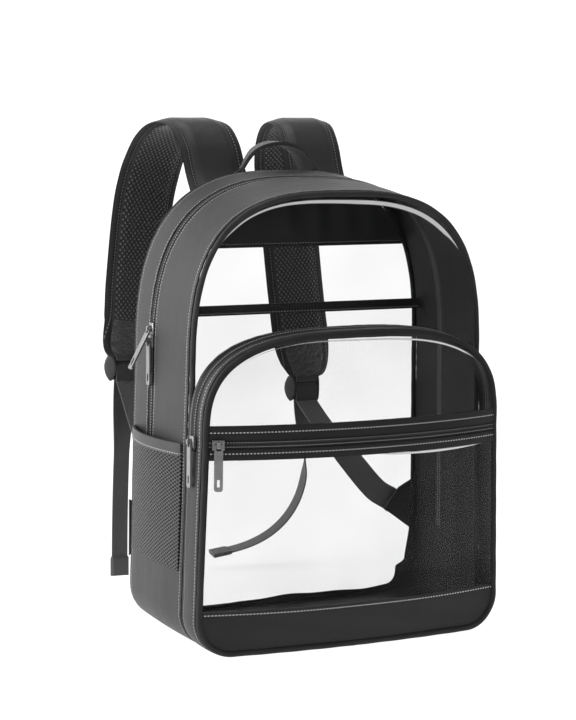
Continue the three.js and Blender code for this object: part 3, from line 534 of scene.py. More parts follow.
seam_cords = (
    ("front_seam_cord", front_form, 2.7, lambda x: front_y + 0 * x, 0.04, "main_front_piping"),
    ("rear_seam_cord", rear_form, 2.5, lambda x: rear_y + 0 * x, 0.02, "back_piping"),
    ("pocket_seam_cord", pocket_form, 3.0, pocket_seam, 0.026, "pocket_piping"),
)
for *cord, node in seam_cords:
    in_bag(piping(*cord), "trim", node)

# The pocket's own side wall, in the same fabric: a base up to 190 mm, and above it a strip on either side of
# the curved zip.
pocket_zip_low = 190
wall_start, wall_end = 2.2, 2.6
pocket_wall_width = pocket_depth - wall_start - wall_end


def pocket_wall(u, v, drop):
    """The pocket's side wall, from v 0 at the main front's cord to 1 at the pocket's own. It swells by
    1.5 mm, as 4v (1 - v)."""
    s = np.minimum(np.mod(u, 8), 8 - np.mod(u, 8))
    swell = 1.5 * 4 * v * (1 - v) * smoothly(s, 1, 2)
    x, z = inset((pocket_form, pocket_form), 0, u, drop - swell)
    rear, front = front_y - wall_start, pocket_seam(x) + wall_end
    return np.stack([x, rear + (front - rear) * v, z], axis=-1)


def pocket_wall_piece(name, u, along, start, end, stitches, seed):
    """One strip of the pocket's side wall, between two shares of its width."""
    across, deep = hem_profile(start * pocket_wall_width, end * pocket_wall_width, cloth, 12)
    waves = pucker(along[:, None], across[None, :], (across.min(), across.max()), 0.25, seed) * 0.5
    waves = waves * np.clip((outline(pocket_form, u)[1][:, None] - 2) / 30, 0, 1)
    rings = pocket_wall(u[:, None], across[None, :] / pocket_wall_width, deep[None, :] - waves)
    # Painted shade: the pocket's wall gets nine tenths of the main wall's tone.
    finishes = [coated_cloth(f"{name}_cloth", wall_tone * 0.9, stitches), backing]
    return solid_from_rings(name, rings, ring_uv(along, across), finishes, finish_of=inner_run(12))


u_pocket_zip = u_at_height(pocket_form, pocket_zip_low)
pocket_u, pocket_along = even_steps(pocket_form, u_pocket_zip + 0.002, 8 - u_pocket_zip - 0.002, 2.0)
pocket_base_u, pocket_base_along = even_steps(pocket_form, -u_pocket_zip, u_pocket_zip, 2.0)
slit = zip_gap / pocket_wall_width
pocket_strips = (
    ("pocket_wall_rear", pocket_u, pocket_along, 0, 0.5 - slit, (3.5,), 0.9, "pocket_gusset_rear"),
    ("pocket_wall_front", pocket_u, pocket_along, 0.5 + slit, 1, (pocket_wall_width - 3.5,), 2.2,
     "pocket_gusset_front"),
    ("pocket_base_cloth", pocket_base_u, pocket_base_along, 0, 1, (3, pocket_wall_width - 3), 3.1,
     "pocket_gusset_base"),
)
for *strip, node in pocket_strips:
    in_bag(pocket_wall_piece(*strip), "fabric", node)
curved_share = 0.5 + zip_across[None, :] / pocket_wall_width
curved_rings = pocket_wall(pocket_u[:, None], curved_share, zip_deep[None, :])
zip_tape("pocket_zip_tape", "pocket_zip_tape", curved_rings, pocket_along, zip_across, "pocket_zip")

# Clear vinyl sheets: the main front, the back, the inner sleeve and the two parts of the pocket's front. The
# vinyl is 1 mm thick, glossy and a little hazy, with a white highlight painted where it bends into a seam.


def half_at(form, depth, z):
    """Half the outline's width at each height, with the outline moved inwards by depth."""
    u = np.linspace(0.9, 4, 4001)
    x, height = inset((form, form), 0, u, depth)
    return np.interp(z, height, x)


def sheet_rings(form, depth, low, high, rows, columns, thickness, face, towards=-1):
    """A sheet inside an outline: rows of points from low to high, each from side to side on the face and then
    back on the other side. face gives y from x and z, and looks towards -y or +y. Rows lie closer together,
    by 1 - (1 - s)^1.5, where the sheet reaches into the crown."""
    share = np.linspace(0, 1, rows)
    z = low + (high - low) * (1 - (1 - share) ** 1.5 if high > form["crown"] else share)
    r = thickness / 2
    out, deep = round_hem(thickness, columns)
    spread = np.linspace(-1, 1, columns)
    half = half_at(form, depth, z)[:, None]
    x = np.concatenate([half * spread, half + out - r, half * spread[::-1], -half - out + r], axis=1)
    zz = np.broadcast_to(z[:, None], x.shape)
    y = face(x, zz) - towards * deep[None, :]
    rings = np.stack([x, y, zz], axis=-1)
    uv = np.stack([zz, x], axis=-1)
    return rings, np.concatenate([uv, uv[:, :1]], axis=1)


def vinyl(name, haze=0.045, painted_highlight=None):
    """Clear vinyl: see-through by its alpha, which rises at grazing angles, with soft waves in its gloss.
    painted_highlight gives a mask of the places where it bends into a seam, where a white highlight is
    painted."""
    finish = Finish(name, Roughness=0.05)
    weight = finish.node("ShaderNodeLayerWeight", {}, {"Blend": 0.25})
    alpha = Wire(finish.tree, weight.outputs["Fresnel"]) * 0.12 + finish.noise(7, 2) * haze * 2
    height = finish.noise(9, 2) + finish.noise(34, 1) * 0.15
    color = finish.mix(finish.noise(12, 1), grey(0.05), grey(0.1))
    metallic = 0.6
    # Painted highlight: inside the mask the colour is painted near white, the alpha raised to 0.95 and the
    # metal look taken out.
    if painted_highlight is not None:
        white = painted_highlight(finish)
        alpha = alpha.math("MAXIMUM", white * 0.95)
        color = finish.mix(white, color, grey(0.95))
        metallic = (1 - white) * metallic
    finish.give(Base_Color=color, Metallic=metallic, Alpha=alpha, Normal=finish.bump(height, 0.004, 0.35))
    return finish


def crown_highlight(form, depth, starts, widths, spread):
    """A painted highlight: a bright line under a crown's edge, z = crown + (height - crown) (1 -
    |x/high|^p)^(1/p). How far below the sheet's edge it lies and how wide it is change evenly from the left,
    at -spread, to the right."""
    def mask(finish):
        z, x = finish.cloth_place()
        half, top = form["high"] - depth, form["height"] - depth
        share = (abs(x) / half).math("MINIMUM", 0.999).math("POWER", form["power"])
        edge = (1 - share).math("POWER", 1 / form["power"]) * (top - form["crown"]) + form["crown"]
        across = x / (2 * spread) + 0.5
        below = edge - z - (across * (starts[1] - starts[0]) + starts[0])
        width = across * (widths[1] - widths[0]) + widths[0]
        width = width * ((spread - abs(x)) * 0.05).clamped()
        width = width * (finish.noise(16, 2) * 0.5 + 0.75)
        return (below * 1.2).clamped() * ((width - below) * 1.2).clamped()

    return mask


def band_highlight(level, width, start, spread):
    """A painted highlight: a bright line under a straight seam at that height, between two distances from the
    middle.
    Its width is w 4s (1 - s), with s going from 0 to 1 between them."""
    def mask(finish):
        z, x = finish.cloth_place()
        share = ((x - start) / (spread - start)).clamped()
        below = level - z
        return (below * 1.2).clamped() * ((share * (1 - share) * 4 * width - below) * 1.2).clamped()

    return mask


# Painted shade: the sheets' cut edges, where they lie in the seam, are painted an opaque dark grey.
seam_shade_finish = Finish("vinyl_edge_painted_shade", Roughness=0.5, Specular_IOR_Level=0.1)
seam_shade_finish.give(Base_Color=seam_shade_finish.mix(seam_shade_finish.noise(40), grey(0.02), grey(0.03)))


def window(name, form, depth, levels, grid, face, finish, node, towards=-1):
    """A clear sheet of the bag between two heights, in rows and columns of points, with painted shade on its
    cut
    edges: they are opaque and dark where they lie in the seam."""
    rings, uv = sheet_rings(form, depth, *levels, *grid, 1.0, face, towards)
    columns = grid[1]
    marks = np.zeros(rings.shape[1], int)
    marks[columns - 1:columns + 4] = 1
    marks[-5:] = 1
    in_bag(solid_from_rings(name, rings, uv, [finish, seam_shade_finish], finish_of=marks), "vinyl", node)


def flat_face(y):
    """A face that stands upright at that y."""
    return lambda x, z: y + 0 * x


front_depth, back_depth, sleeve_depth, pocket_window_depth = 4.4, 4.8, 2.6, 5.6
sleeve_form = {**rear_form, "high": 154.35}
front_vinyl = vinyl("front_vinyl", painted_highlight=crown_highlight(front_form, front_depth, (1.2, 6.0), (2.2, 6.2), 130))
window("front_window", front_form, front_depth, (6, 418), (90, 60), flat_face(front_y - 0.5), front_vinyl,
       "main_front_panel")
window("back_window", rear_form, back_depth, (6, 359.6), (60, 50), flat_face(rear_y + 0.5),
       vinyl("back_vinyl"), "back_panel", 1)
window("sleeve_window", sleeve_form, sleeve_depth, (3, 294.6), (60, 50), flat_face(rear_y - 8.5),
       vinyl("sleeve_vinyl", 0.03), "sleeve_panel")


def pocket_face(x, z):
    """The pocket's front: it swells 17 mm beyond its seam, by 1 - |x/158|^2.4 and 1 - |2z/297 - 1|^2.4."""
    across = 1 - np.minimum(np.abs(x) / half_width, 1) ** 2.4
    upwards = 1 - np.minimum(np.abs(2 * z / 297 - 1), 1) ** 2.4
    return pocket_seam(x) - 17 * across * upwards


foot_top, lower_foot, lower_top, upper_foot, upper_top = 44, 184.1, 194, 203, 215.6
upper_highlight = crown_highlight(pocket_form, pocket_window_depth, (0.6, 2.2), (0.8, 3.0), 130)
window("pocket_window_upper", pocket_form, pocket_window_depth, (upper_top + 0.1, 290.7), (40, 70),
       pocket_face, vinyl("pocket_vinyl_upper", painted_highlight=upper_highlight), "pocket_upper_panel")
lower_highlight = band_highlight(lower_foot - 0.1, 3.2, 8, 140)
window("pocket_window_lower", pocket_form, pocket_window_depth, (foot_top + 0.1, lower_foot - 0.1), (50, 70),
       pocket_face, vinyl("pocket_vinyl_lower", painted_highlight=lower_highlight), "pocket_lower_panel")

# Inside the foot of the rear seam: the seam's raw edge, a creased strip of the dark backing that stands up
# from the floor of the bag behind the clear back, and higher round the right corner.
seam_u, seam_along = even_steps(rear_form, -1.75, 2.4, 1.5)
seam_place = outline(rear_form, seam_u)[0]
crease = 0.8 * np.sin(seam_along / 23.0) + 0.5 * np.sin(seam_along / 9.0 + 1)
crease = crease + 6 * np.exp(-((seam_place + 134) / 3.0) ** 2)
seam_high = 5 + 4 * smoothly(seam_place, -150, 20) + crease + 14 * np.exp(-(((seam_u - 1.62) / 0.4) ** 2))
seam_high = seam_high * (1 - 0.5 * smoothly(seam_u, 2.1, 2.4))
seam_deep = np.stack([0 * crease + 2.2, seam_high, seam_high, 0 * crease + 2.2], axis=1)
seam_x, seam_z = inset((rear_form, rear_form), 0, seam_u[:, None], seam_deep)
seam_y = np.array([61.6, 59.5, 58.9, 60.8]) + 0 * seam_x
seam_uv = ring_uv(seam_along, np.array([0, 12, 13, 25]))
seam_edge = solid_from_rings("seam_edge", np.stack([seam_x, seam_y, seam_z], axis=-1), seam_uv, [backing])
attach(seam_edge, "bag")

# Fabric across the pocket's front: the band at its foot, and two bands with the straight zip between them.
# Each is hemmed with one row of light stitches.
# Painted shade: the bands' fabric gets under half the side wall's tone, as they face the dark front of the
# room.
band_depth, band_shaded_tone = 5.4, 0.012
straight_middle = 198.5


def front_band(name, low, high, stitch_height):
    """A band of fabric across the pocket's front, with a soft wave of its own."""
    def face(x, z):
        return pocket_face(x, z) - 0.35 * np.sin(x / 21.0 + z / 9.0) * np.sin(z / 6.0 + 1)

    rings, uv = sheet_rings(pocket_form, band_depth, low, high, 24, 90, cloth, face)
    finish = coated_cloth(f"{name}_stitched", band_shaded_tone, (stitch_height,), thread=0.55, shine=0.6)
    return solid_from_rings(name, rings, uv[:, :, ::-1], [finish])


front_bands = (
    ("pocket_foot_band", 6.2, foot_top, foot_top - 3.5, "pocket_bottom_band"),
    ("zip_band_upper", upper_foot + 0.1, upper_top, 209.4, "pocket_zip_band_upper"),
    ("zip_band_lower", lower_foot, lower_top - 0.1, 190.2, "pocket_zip_band_lower"),
)
for *band, node in front_bands:
    in_bag(front_band(*band), "fabric", node)

straight_across, straight_deep = zip_profile(10.4)
zip_x = np.linspace(-1, 1, 180)[:, None] * half_at(pocket_form, band_depth, np.array([straight_middle]))[0]
zip_z = straight_middle + straight_across[None, :] + 0 * zip_x
zip_y = pocket_face(zip_x, zip_z) + straight_deep[None, :]
straight_rings = np.stack([zip_x + 0 * zip_z, zip_y, zip_z], axis=-1)
zip_tape("front_zip_tape", "front_zip_cloth", straight_rings, zip_x[:, 0], straight_across, "front_zip")

# The back's yoke and the sleeve's bound edge: plain dark fabric, the yoke drawn into folds by the straps.


def yoke_face(x, z):
    """The yoke: upright folds that fade towards its lower edge, and a slight sag between the straps."""
    folds = 0.9 * np.sin(x / 9.0 + np.sin(z / 17.0)) * np.sin(x / 31.0 + 1) + 0.5 * np.sin(x / 5.0 + z / 40.0)
    return rear_y + 1 + folds * np.clip((z - 358) / 25, 0, 1) * np.clip((430 - z) / 20, 0, 1) * 1.3


rings, uv = sheet_rings(rear_form, band_depth, 360, 430, 40, 120, cloth, yoke_face, 1)
# Painted light: the yoke gets a lighter tone than the side wall, to lift it out of the shade inside the bag.
yoke_cloth = coated_cloth("yoke_cloth", 0.036, (363.5,))
in_bag(solid_from_rings("yoke", rings, uv[:, :, ::-1], [yoke_cloth]), "fabric", "back_yoke")
rings, uv = sheet_rings(sleeve_form, sleeve_depth, 295, 305, 10, 60, cloth, flat_face(rear_y - 9))
sleeve_cloth = coated_cloth("sleeve_edge_cloth", 0.018, (297,))
in_bag(solid_from_rings("sleeve_edge", rings, uv[:, :, ::-1], [sleeve_cloth]), "trim", "sleeve_binding")

# Side pockets: stretch mesh that stands off the wall, with a bound mouth. The mesh has slanting rows of
# diamond holes, 3.6 mm apart.
mesh_low, mesh_high, mouth = 74, 193, 12


def side_mesh(side, low, high, rows, thickness):
    """The mesh's rings: it stands 0.5 mm off at the seams and up to 10.5 mm in the middle of its mouth."""
    heights = np.linspace(low, high, rows)
    u = np.linspace(u_at_height(front_form, low), u_at_height(front_form, high), rows)
    share = np.linspace(0, 1, 40)
    opened = 0.25 + 0.75 * (heights - mesh_low) / (mesh_high - mesh_low)
    stand = 0.5 + 10 * opened[:, None] * np.sin(math.pi * share)[None, :] ** 0.8
    v = 0.06 + 0.88 * share
    outer = wall(side * u[:, None], v[None, :], -stand - thickness)
    inner = wall(side * u[:, None], v[None, :], -stand)
    rings = np.concatenate([outer, inner[:, ::-1]], axis=1)
    across = np.concatenate([v, v[::-1]]) * main_depth
    return rings, ring_uv(heights, across)


def mesh_cloth(name):
    """Stretch mesh: two families of slanting strands leave diamond holes, by |sin| of the slanted places."""
    finish = Finish(name, Roughness=0.6, Specular_IOR_Level=0.3)
    along, across = finish.cloth_place()
    pitch = math.pi / 3.6
    one = abs(((along + across * 0.62) * pitch).math("SINE"))
    two = abs(((along - across * 0.62) * pitch).math("SINE"))
    hole = one.math("MINIMUM", two)
    open_mask = ((hole - 0.42) * 6).clamped()
    # Painted shade: the holes are painted near black, for the shaded wall seen through them.
    color = finish.mix((hole * 1.7).math("MINIMUM", 1), grey(0.145), grey(0.003))
    finish.give(Base_Color=color, Alpha=1 - open_mask * 0.35, Normal=finish.bump(1 - hole, 0.0008, 1.0))
    return finish


for side_name, side in (("left", -1), ("right", 1)):
    rings, uv = side_mesh(side, mesh_low, mesh_high - mouth - 0.4, 60, 1.2)
    in_bag(solid_from_rings(f"mesh_{side_name}", rings, uv, [mesh_cloth(f"mesh_{side_name}_cloth")]),
           "mesh", f"side_mesh_{side_name}")
    rings, uv = side_mesh(side, mesh_high - mouth, mesh_high, 10, 2.4)
    # Painted light: the mouth's binding gets a tone well above the side wall's, a lit copy of the same
    # fabric.
    in_bag(solid_from_rings(f"mesh_mouth_{side_name}", rings, uv[:, :, ::-1],
                            [coated_cloth(f"mesh_mouth_{side_name}_cloth", 0.048, (183.5,))]),
           "trim", f"side_mesh_binding_{side_name}")

# Shoulder straps: foam pads with coated fabric outside and air mesh on the inner side, bound at the edges by
# a tape that is set off by a stitched groove.
strap_sides = (
    {"name": "left", "side": -1, "flare": 57, "fall": 143, "tail": 203, "twist": 30, "curl": 0},
    {"name": "right", "side": 1, "flare": 44, "fall": 175, "tail": 226, "twist": 78, "curl": 84},
)
pad_half, pad_thick, pad_edge = 32, 10, 4.5
pad_rows = np.array([
    # flare of the left pad, flare of the right pad, behind, rise, fall
    (0, 0, 0, 0, 0), (0, 0, 0.09, 0.19, 0), (0, 0, 0.23, 0.47, 0), (0.02, 0.02, 0.34, 0.78, 0),
    (0.08, 0.04, 0.45, 0.95, 0), (0.16, 0.08, 0.58, 1, 0), (0.26, 0.14, 0.74, 0.95, 0),
    (0.35, 0.22, 0.88, 0.79, 0), (0.43, 0.31, 0.97, 0.56, 0), (0.53, 0.4, 1, 0.3, 0), (0.62, 0.5, 1, 0, 0),
    (0.75, 0.73, 0.99, 0, 0.5), (0.82, 0.87, 0.97, 0, 0.79), (0.94, 1, 0.97, 0, 0.93), (0.94, 1, 0.97, 0, 1),
])
root_y = rear_y + 1 + 0.4 + 3


def curve_through(points, count):
    """A smooth curve through points, a centripetal Catmull-Rom spline, at equal lengths along it."""
    ends = [2 * points[0] - points[1], *points, 2 * points[-1] - points[-2]]
    p = np.array(ends)
    p0, p1, p2, p3 = p[:-3], p[1:-2], p[2:-1], p[3:]
    d0, d1, d2 = (np.maximum(np.linalg.norm(b - a, axis=1), 1e-6)[:, None] ** 0.5
                  for a, b in ((p0, p1), (p1, p2), (p2, p3)))
    m1 = ((p1 - p0) / d0 - (p2 - p0) / (d0 + d1) + (p2 - p1) / d1) * d1
    m2 = ((p2 - p1) / d1 - (p3 - p1) / (d1 + d2) + (p3 - p2) / d2) * d1
    t = np.linspace(0, 1, 60, endpoint=False)[None, :, None]
    a, b, c, d = p1[:, None], p2[:, None], m1[:, None], m2[:, None]
    dense = (2 * t**3 - 3 * t**2 + 1) * a + (t**3 - 2 * t**2 + t) * c
    dense = dense + (3 * t**2 - 2 * t**3) * b + (t**3 - t**2) * d
    dense = np.concatenate([dense.reshape(-1, 3), p[-2:-1]])
    length = np.concatenate([[0], np.cumsum(np.linalg.norm(np.diff(dense, axis=0), axis=1))])
    along = np.linspace(0, length[-1], count)
    return np.stack([np.interp(along, length, dense[:, k]) for k in range(3)], axis=1), along


def carried(path, across, w, t):
    """A section carried along a path: w runs along the strip's width and t along its thickness."""
    forward = np.gradient(path, axis=0)
    forward /= np.linalg.norm(forward, axis=1)[:, None]
    width = across - forward * np.sum(across * forward, axis=1)[:, None]
    width /= np.linalg.norm(width, axis=1)[:, None]
    out = np.cross(forward, width)
    return path[:, None] + width[:, None] * w[..., None] + out[:, None] * t[..., None]


def pad_path(strap):
    """The middle line of a pad, from its root on the yoke over the arch to its lower end."""
    left_flare, right_flare, behind, rise, fall = pad_rows.T
    flare = left_flare if strap["name"] == "left" else right_flare
    x = strap["side"] * (54 + flare * strap["flare"])
    z = 385 + rise * 94 - fall * strap["fall"]
    return curve_through(np.stack([x, root_y + behind * 141, z], axis=1), 150)


def air_mesh(name, cap_start):
    """Knitted air mesh: small raised loops in slanting rows 4.6 mm apart, the product of two sine waves. Past
    cap_start, in millimetres along the pad, its end is capped with creased cloth."""
    finish = Finish(name, Roughness=0.75, Sheen_Weight=0.3)
    along, across = finish.cloth_place()
    rows = (along * 0.75 + across).wave(4.6)
    loops = (along * 0.75 - across).wave(4.6)
    height = (rows * 0.5 + 0.5) * (loops * 0.5 + 0.5)
    capped = ((along - cap_start) * 0.5).clamped()
    # Painted light and shade: the colour follows the loops' height, light on their tops and near black
    # between them.
    color = finish.mix(height * height, grey(0.003), grey(0.17))
    color = finish.mix(capped, color, grey(0.045))
    height = height * (1 - capped) + capped * finish.noise(150, 4, stretch=(1, 1, 1.5)) * 8
    finish.give(Base_Color=color, Normal=finish.bump(height, 0.0009, 1.0))
    return finish


def shoulder_pad(strap):
    """A pad: an oblong section, thickest along its middle, with a groove 7.5 mm in from each edge. It narrows
    to a round end, sqrt(1 - e^2) over its last 11 in 100, and the root is thinner."""
    path, along = pad_path(strap)
    share = along / along[-1]
    end = np.clip((share - 0.89) / 0.11, 0, 1)
    half = pad_half * (0.44 + 0.56 * np.sqrt(np.maximum(0, 1 - end**2)))
    thin = (0.6 + 0.4 * smoothly(share, 0.02, 0.1)) * (1 - 0.35 * end)
    spread = np.concatenate([np.linspace(-1, 1, 49), [1.02], np.linspace(1, -1, 49), [-1.02]])
    face = np.concatenate([np.ones(49), [0], -np.ones(49), [0]])
    w = half[:, None] * spread[None, :]
    inwards = half[:, None] - np.abs(w)
    rise = np.clip(inwards / 5.5, 0, 1) ** 0.6
    groove = 0.9 * np.exp(-(((inwards - 7.5) / 1.1) ** 2))
    bulge = pad_edge / 2 * rise + (pad_thick - pad_edge) / 2 * np.clip((inwards - 6.5) / 9, 0, 1) ** 0.7
    t = face[None, :] * (bulge - groove) * thin[:, None]
    lowered = path - 4 * smoothly(share, 0.93, 1)[:, None] * [0, 0, 1]
    rings = carried(lowered, np.broadcast_to([1.0, 0, 0], path.shape), w, t)
    middle = np.abs(spread) < 0.74
    finish_of = np.where(middle & (face > 0), 1, np.where(middle, 0, 2))
    # Painted light: the pad's outer cloth gets a tone above the side wall's, a lit copy of the same fabric.
    cloth_finish = coated_cloth(f"pad_{strap['name']}_cloth", 0.034, (), shine=0.4)
    tape_finish = coated_cloth(f"pad_{strap['name']}_tape", 0.02, (-pad_half + 6, pad_half - 6), thread=0.2)
    finishes = [cloth_finish, air_mesh(f"pad_{strap['name']}_mesh", along[-1] - 34), tape_finish]
    piece = solid_from_rings(f"pad_{strap['name']}", rings, ring_uv(along, w), finishes, finish_of=finish_of)
    in_bag(piece, "fabric", f"shoulder_pad_{strap['name']}")
    return path


pad_paths = {strap["name"]: shoulder_pad(strap) for strap in strap_sides}

# Webbing: flat woven tape, nearly 25 mm wide. One length runs from each corner patch up behind the ladder
# lock, over its bar and down in front as a free tail with a folded, stitched end.
webbing_half, webbing_thick = 12.1, 1.4
lock_bar, lock_thick, lock_slot = 4, 3.5, 7
patch_face = rear_y + 2.5 + 0.4 + cloth
lead_rows = np.array([
    # across, behind, up
    (-0.16, 0.005, -0.08), (-0.09, 0.005, -0.05), (0.02, 0.006, -0.01), (0.13, 0.025, 0.015),
    (0.3, 0.09, 0.07), (0.675, 0.406, 0.417), (0.9, 0.74, 0.74), (0.98, 0.92, 0.92), (1, 1, 1),
])


def webbing_cloth(name):
    """Woven webbing: lengthwise ribs 1.6 mm apart, crossed by fine picks, and thicker at the edges."""
    finish = Finish(name, Roughness=0.7, Sheen_Weight=0.35, Sheen_Roughness=0.4)
    along, across = finish.cloth_place()
    ribs = across.wave(1.6)
    picks = (along * (2 * math.pi / 1.1) + ribs).math("SINE")
    height = ribs * 0.5 + picks * 0.35
    # Painted light and shade: the colour follows the weave's height, lighter on the raised ribs and picks and
    # darker between them.
    color = finish.mix(height * 0.5 + 0.5, grey(0.012), grey(0.05))
    finish.give(Base_Color=color, Normal=finish.bump(height, 0.0004, 0.9))
    return finish


def strap_webbing(strap, lock):
    """The webbing's middle line and the way its width runs: a lead from the patch, a half turn over the bar,
    and the hanging tail, which turns about its length and may curl inwards."""
    side, stand = strap["side"], lock_thick / 2 + 0.4 + webbing_thick / 2
    bar_z = lock[2] - lock_bar - lock_slot
    foot_z = bar_z - 1.5 * lock_bar - lock_slot
    start = np.array([side * (half_width - 27), patch_face + 0.8 + webbing_thick / 2, 98])
    foot = np.array([lock[0], lock[1] - stand, foot_z])
    lead, _ = curve_through(start + (foot - start) * lead_rows, 90)
    turn = smoothly(np.linspace(0, 1, 90), 0.2, 0.85)[:, None]
    lead_across = side * np.array([side * 0.62, 0, 0.78]) * (1 - turn) + np.array([1.0, 0, 0]) * turn
    angle = np.linspace(math.pi, 0, 17)
    over = np.stack([0 * angle + lock[0], lock[1] + stand * np.cos(angle),
                     bar_z + lock_bar / 2 + stand * np.sin(angle)], axis=1)
    tail_start = np.array([lock[0], lock[1] + stand, foot_z])
    steps = 110
    share = np.arange(1, steps + 1) / steps
    lean = np.radians(3.5 - strap["curl"] * smoothly(share, 0.2, 0.98))
    sway = (2 if strap["curl"] else -2) * 0.09 * share
    way = np.stack([side * np.sin(lean), sway, -np.cos(lean)], axis=1)
    way /= np.linalg.norm(way, axis=1)[:, None]
    tail = tail_start + np.cumsum(way, axis=0) * strap["tail"] / steps
    spin = np.radians(strap["twist"] * smoothly(share, 0, 0.4))
    tail_across = np.stack([np.cos(spin), np.sin(spin), 0 * spin], axis=1)
    path = np.concatenate([lead, over, tail_start[None], tail])
    plain = np.broadcast_to([1.0, 0, 0], (len(over) + 1, 3))
    across = np.concatenate([lead_across, plain, tail_across])
    folded = np.concatenate([np.zeros(len(lead) + len(over) + 1), share > 1 - 20 / strap["tail"]])
    return path, across, folded


def strip_section(half, thick):
    """The closed section of a flat strip with slightly thicker edges, as shares of its half sizes."""
    spread = np.linspace(-1, 1, 24)
    w = np.concatenate([spread, [1.015], spread[::-1], [-1.015]])
    t = np.concatenate([0 * spread + 1, [0], 0 * spread - 1, [0]])
    return half[:, None] * w[None, :], thick[:, None] * t[None, :]


def lengths(path):
    """The length along a path at each of its points."""
    return np.concatenate([[0], np.cumsum(np.linalg.norm(np.diff(path, axis=0), axis=1))])


locks = {}
for strap in strap_sides:
    end = pad_paths[strap["name"]][-1]
    lock = np.array([end[0], end[1], end[2] - 0.8 - 3.9])
    locks[strap["name"]] = lock
    path, across, folded = strap_webbing(strap, lock)
    w, t = strip_section(webbing_half + 0.4 * folded, webbing_thick / 2 + 1.3 * folded)
    rings = carried(path, across, w, t)
    in_bag(solid_from_rings(f"webbing_{strap['name']}", rings, ring_uv(lengths(path), w),
                            [webbing_cloth(f"webbing_{strap['name']}_cloth")]),
           "webbing", f"strap_webbing_{strap['name']}")

# The grab handle: a strip of the same webbing whose ends lie flat on the yoke and whose top turns edge-on.
handle_rows = np.array([
    # across, up, back
    (-1, -26, 0), (-1, -16.12, 0.08), (-1, -10.4, 0.5), (-0.99, -5.2, 0.88), (-0.96, 0, 1), (-0.6, 20, 1),
    (0, 27, 1),
])
handle_rows = np.concatenate([handle_rows, handle_rows[-2::-1] * [-1, 1, 1]])
handle_half_span, handle_half_thick, handle_steps = 38, 1.8, 120
flat_y, top_y = rear_y + 1 + 0.8 + handle_half_thick, rear_y + 15.8
handle_points = np.stack([
    handle_rows[:, 0] * handle_half_span, flat_y + (top_y - flat_y) * handle_rows[:, 2],
    rear_form["height"] + handle_rows[:, 1] - handle_half_thick,
], axis=1)
handle_path, handle_along = curve_through(handle_points, handle_steps)
handle_share = np.linspace(0, 1, handle_steps)
handle_turn = smoothly(np.abs(handle_share - 0.5) * 2, 0.57, 0.91)
handle_side = np.where(handle_share < 0.5, 1, -1)
toe_in = -0.42 * handle_path[:, 0] / handle_half_span * (1 - handle_turn)
handle_across = np.stack([handle_side * handle_turn + toe_in, 1 - handle_turn, 0 * handle_turn], axis=1)
w, t = strip_section(np.full(handle_steps, 12.0), np.full(handle_steps, handle_half_thick))
in_bag(solid_from_rings("grab_handle", carried(handle_path, handle_across, w, t), ring_uv(handle_along, w),
                        [webbing_cloth("handle_cloth")]),
       "webbing", "handle")

# Ladder locks: moulded black plastic with bars between two side plates, one straight and one a wing that is
# turned outwards. The webbing runs over the bars.
plastic = Finish("lock_plastic", Roughness=0.4, Specular_IOR_Level=0.4)
plastic.give(Base_Color=plastic.mix(plastic.noise(200), grey(0.007), grey(0.013)),
             Normal=plastic.bump(plastic.noise(1500), 0.0001, 0.5))


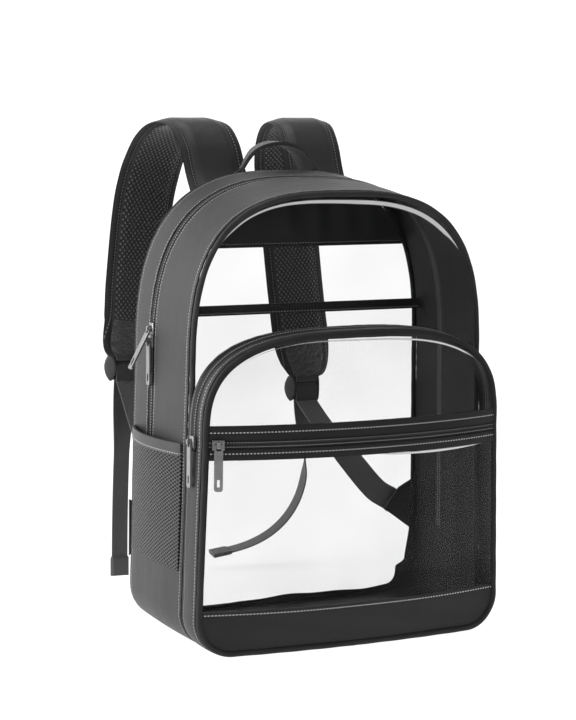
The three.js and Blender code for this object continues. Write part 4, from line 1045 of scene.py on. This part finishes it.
def lock_part(name, centre, across, radii, power, turned=0.0):
    """A short bar along x with round ends: |y/a|^p + |z/b|^p = 1 across it, and ends closed to a point. It is
    turned by that angle about its upright middle line."""
    angle = np.arange(28) / 28 * 2 * math.pi
    y = np.sign(np.cos(angle)) * np.abs(np.cos(angle)) ** (2 / power[0]) * radii[0]
    z = np.sign(np.sin(angle)) * np.abs(np.sin(angle)) ** (2 / power[1]) * radii[1]
    ends = np.array([0, 0.7, 0.92, 1, 1, 0.92, 0.7, 0])[:, None]
    stations = np.array([-1, -1, -0.94, -0.8, 0.8, 0.94, 1, 1])[:, None] * across
    x, y = stations + 0 * y, ends * y
    x, y = x * math.cos(turned) - y * math.sin(turned), x * math.sin(turned) + y * math.cos(turned)
    rings = np.stack([x, y, ends * z], axis=-1) + centre
    return solid_from_rings(name, rings, ring_uv(stations[:, 0], angle * radii[0]), [plastic])


for name, lock in locks.items():
    height = 3 * lock_bar + 2 * lock_slot
    middle = lock + [0, 0, lock_bar / 2 - height / 2]
    parts = [
        lock_part(f"lock_wing_{name}", middle + [-15.8, 2.6, 1], 2.0, (7.2, height / 2 + 1.5), (1.4, 1.8),
                  math.radians(40)),
        lock_part(f"lock_plate_{name}", middle + [13.6, 0, 0], 1.6, (3.6, height / 2 + 1), (2.0, 2.2)),
    ]
    for index, drop in enumerate((0, 4.9, lock_bar + lock_slot, 2 * (lock_bar + lock_slot))):
        parts.append(lock_part(f"lock_bar_{name}_{index}", lock - [0, 0, drop], 13.6,
                               (lock_thick / 2, lock_bar / 2), (2.4, 2.4)))
    for part in parts:
        in_bag(part, "plastic", f"ladder_lock_{name}")

# Hard parts and small pieces that keep the shape of the model: the zip hardware in polished metal, the loops
# that hold the ladder locks, and the corner patches.
metal = Finish("zip_metal", Metallic=1.0, Roughness=0.3)
metal.give(Base_Color=metal.mix(metal.noise(120), grey(0.22), grey(0.36)),
           Roughness=metal.noise(400) * 0.15 + 0.3)
patch_cloth = Finish("patch_cloth", Roughness=0.6)
patch_cloth.give(Base_Color=patch_cloth.mix(patch_cloth.noise(60), grey(0.018), grey(0.028)),
                 Normal=patch_cloth.bump(patch_cloth.noise(900, 4), 0.0003, 0.6))
kept = {
    metal: [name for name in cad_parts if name.endswith(("_slider", "_pull"))],
    webbing_cloth("loop_cloth"): ["lock_loop_left", "lock_loop_right"],
    patch_cloth: ["corner_patch_left", "corner_patch_right"],
}
for finish, names in kept.items():
    for name in names:
        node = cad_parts[name]
        for slot in node.material_slots:
            slot.material = finish.material
        weld = node.modifiers.new("weld", "WELD")
        weld.merge_threshold = 0.00001
        bevel = node.modifiers.new("bevel", "BEVEL")
        bevel.width = 0.0003
        bevel.segments = 2
        bevel.limit_method = "ANGLE"
        bevel.angle_limit = math.radians(40)
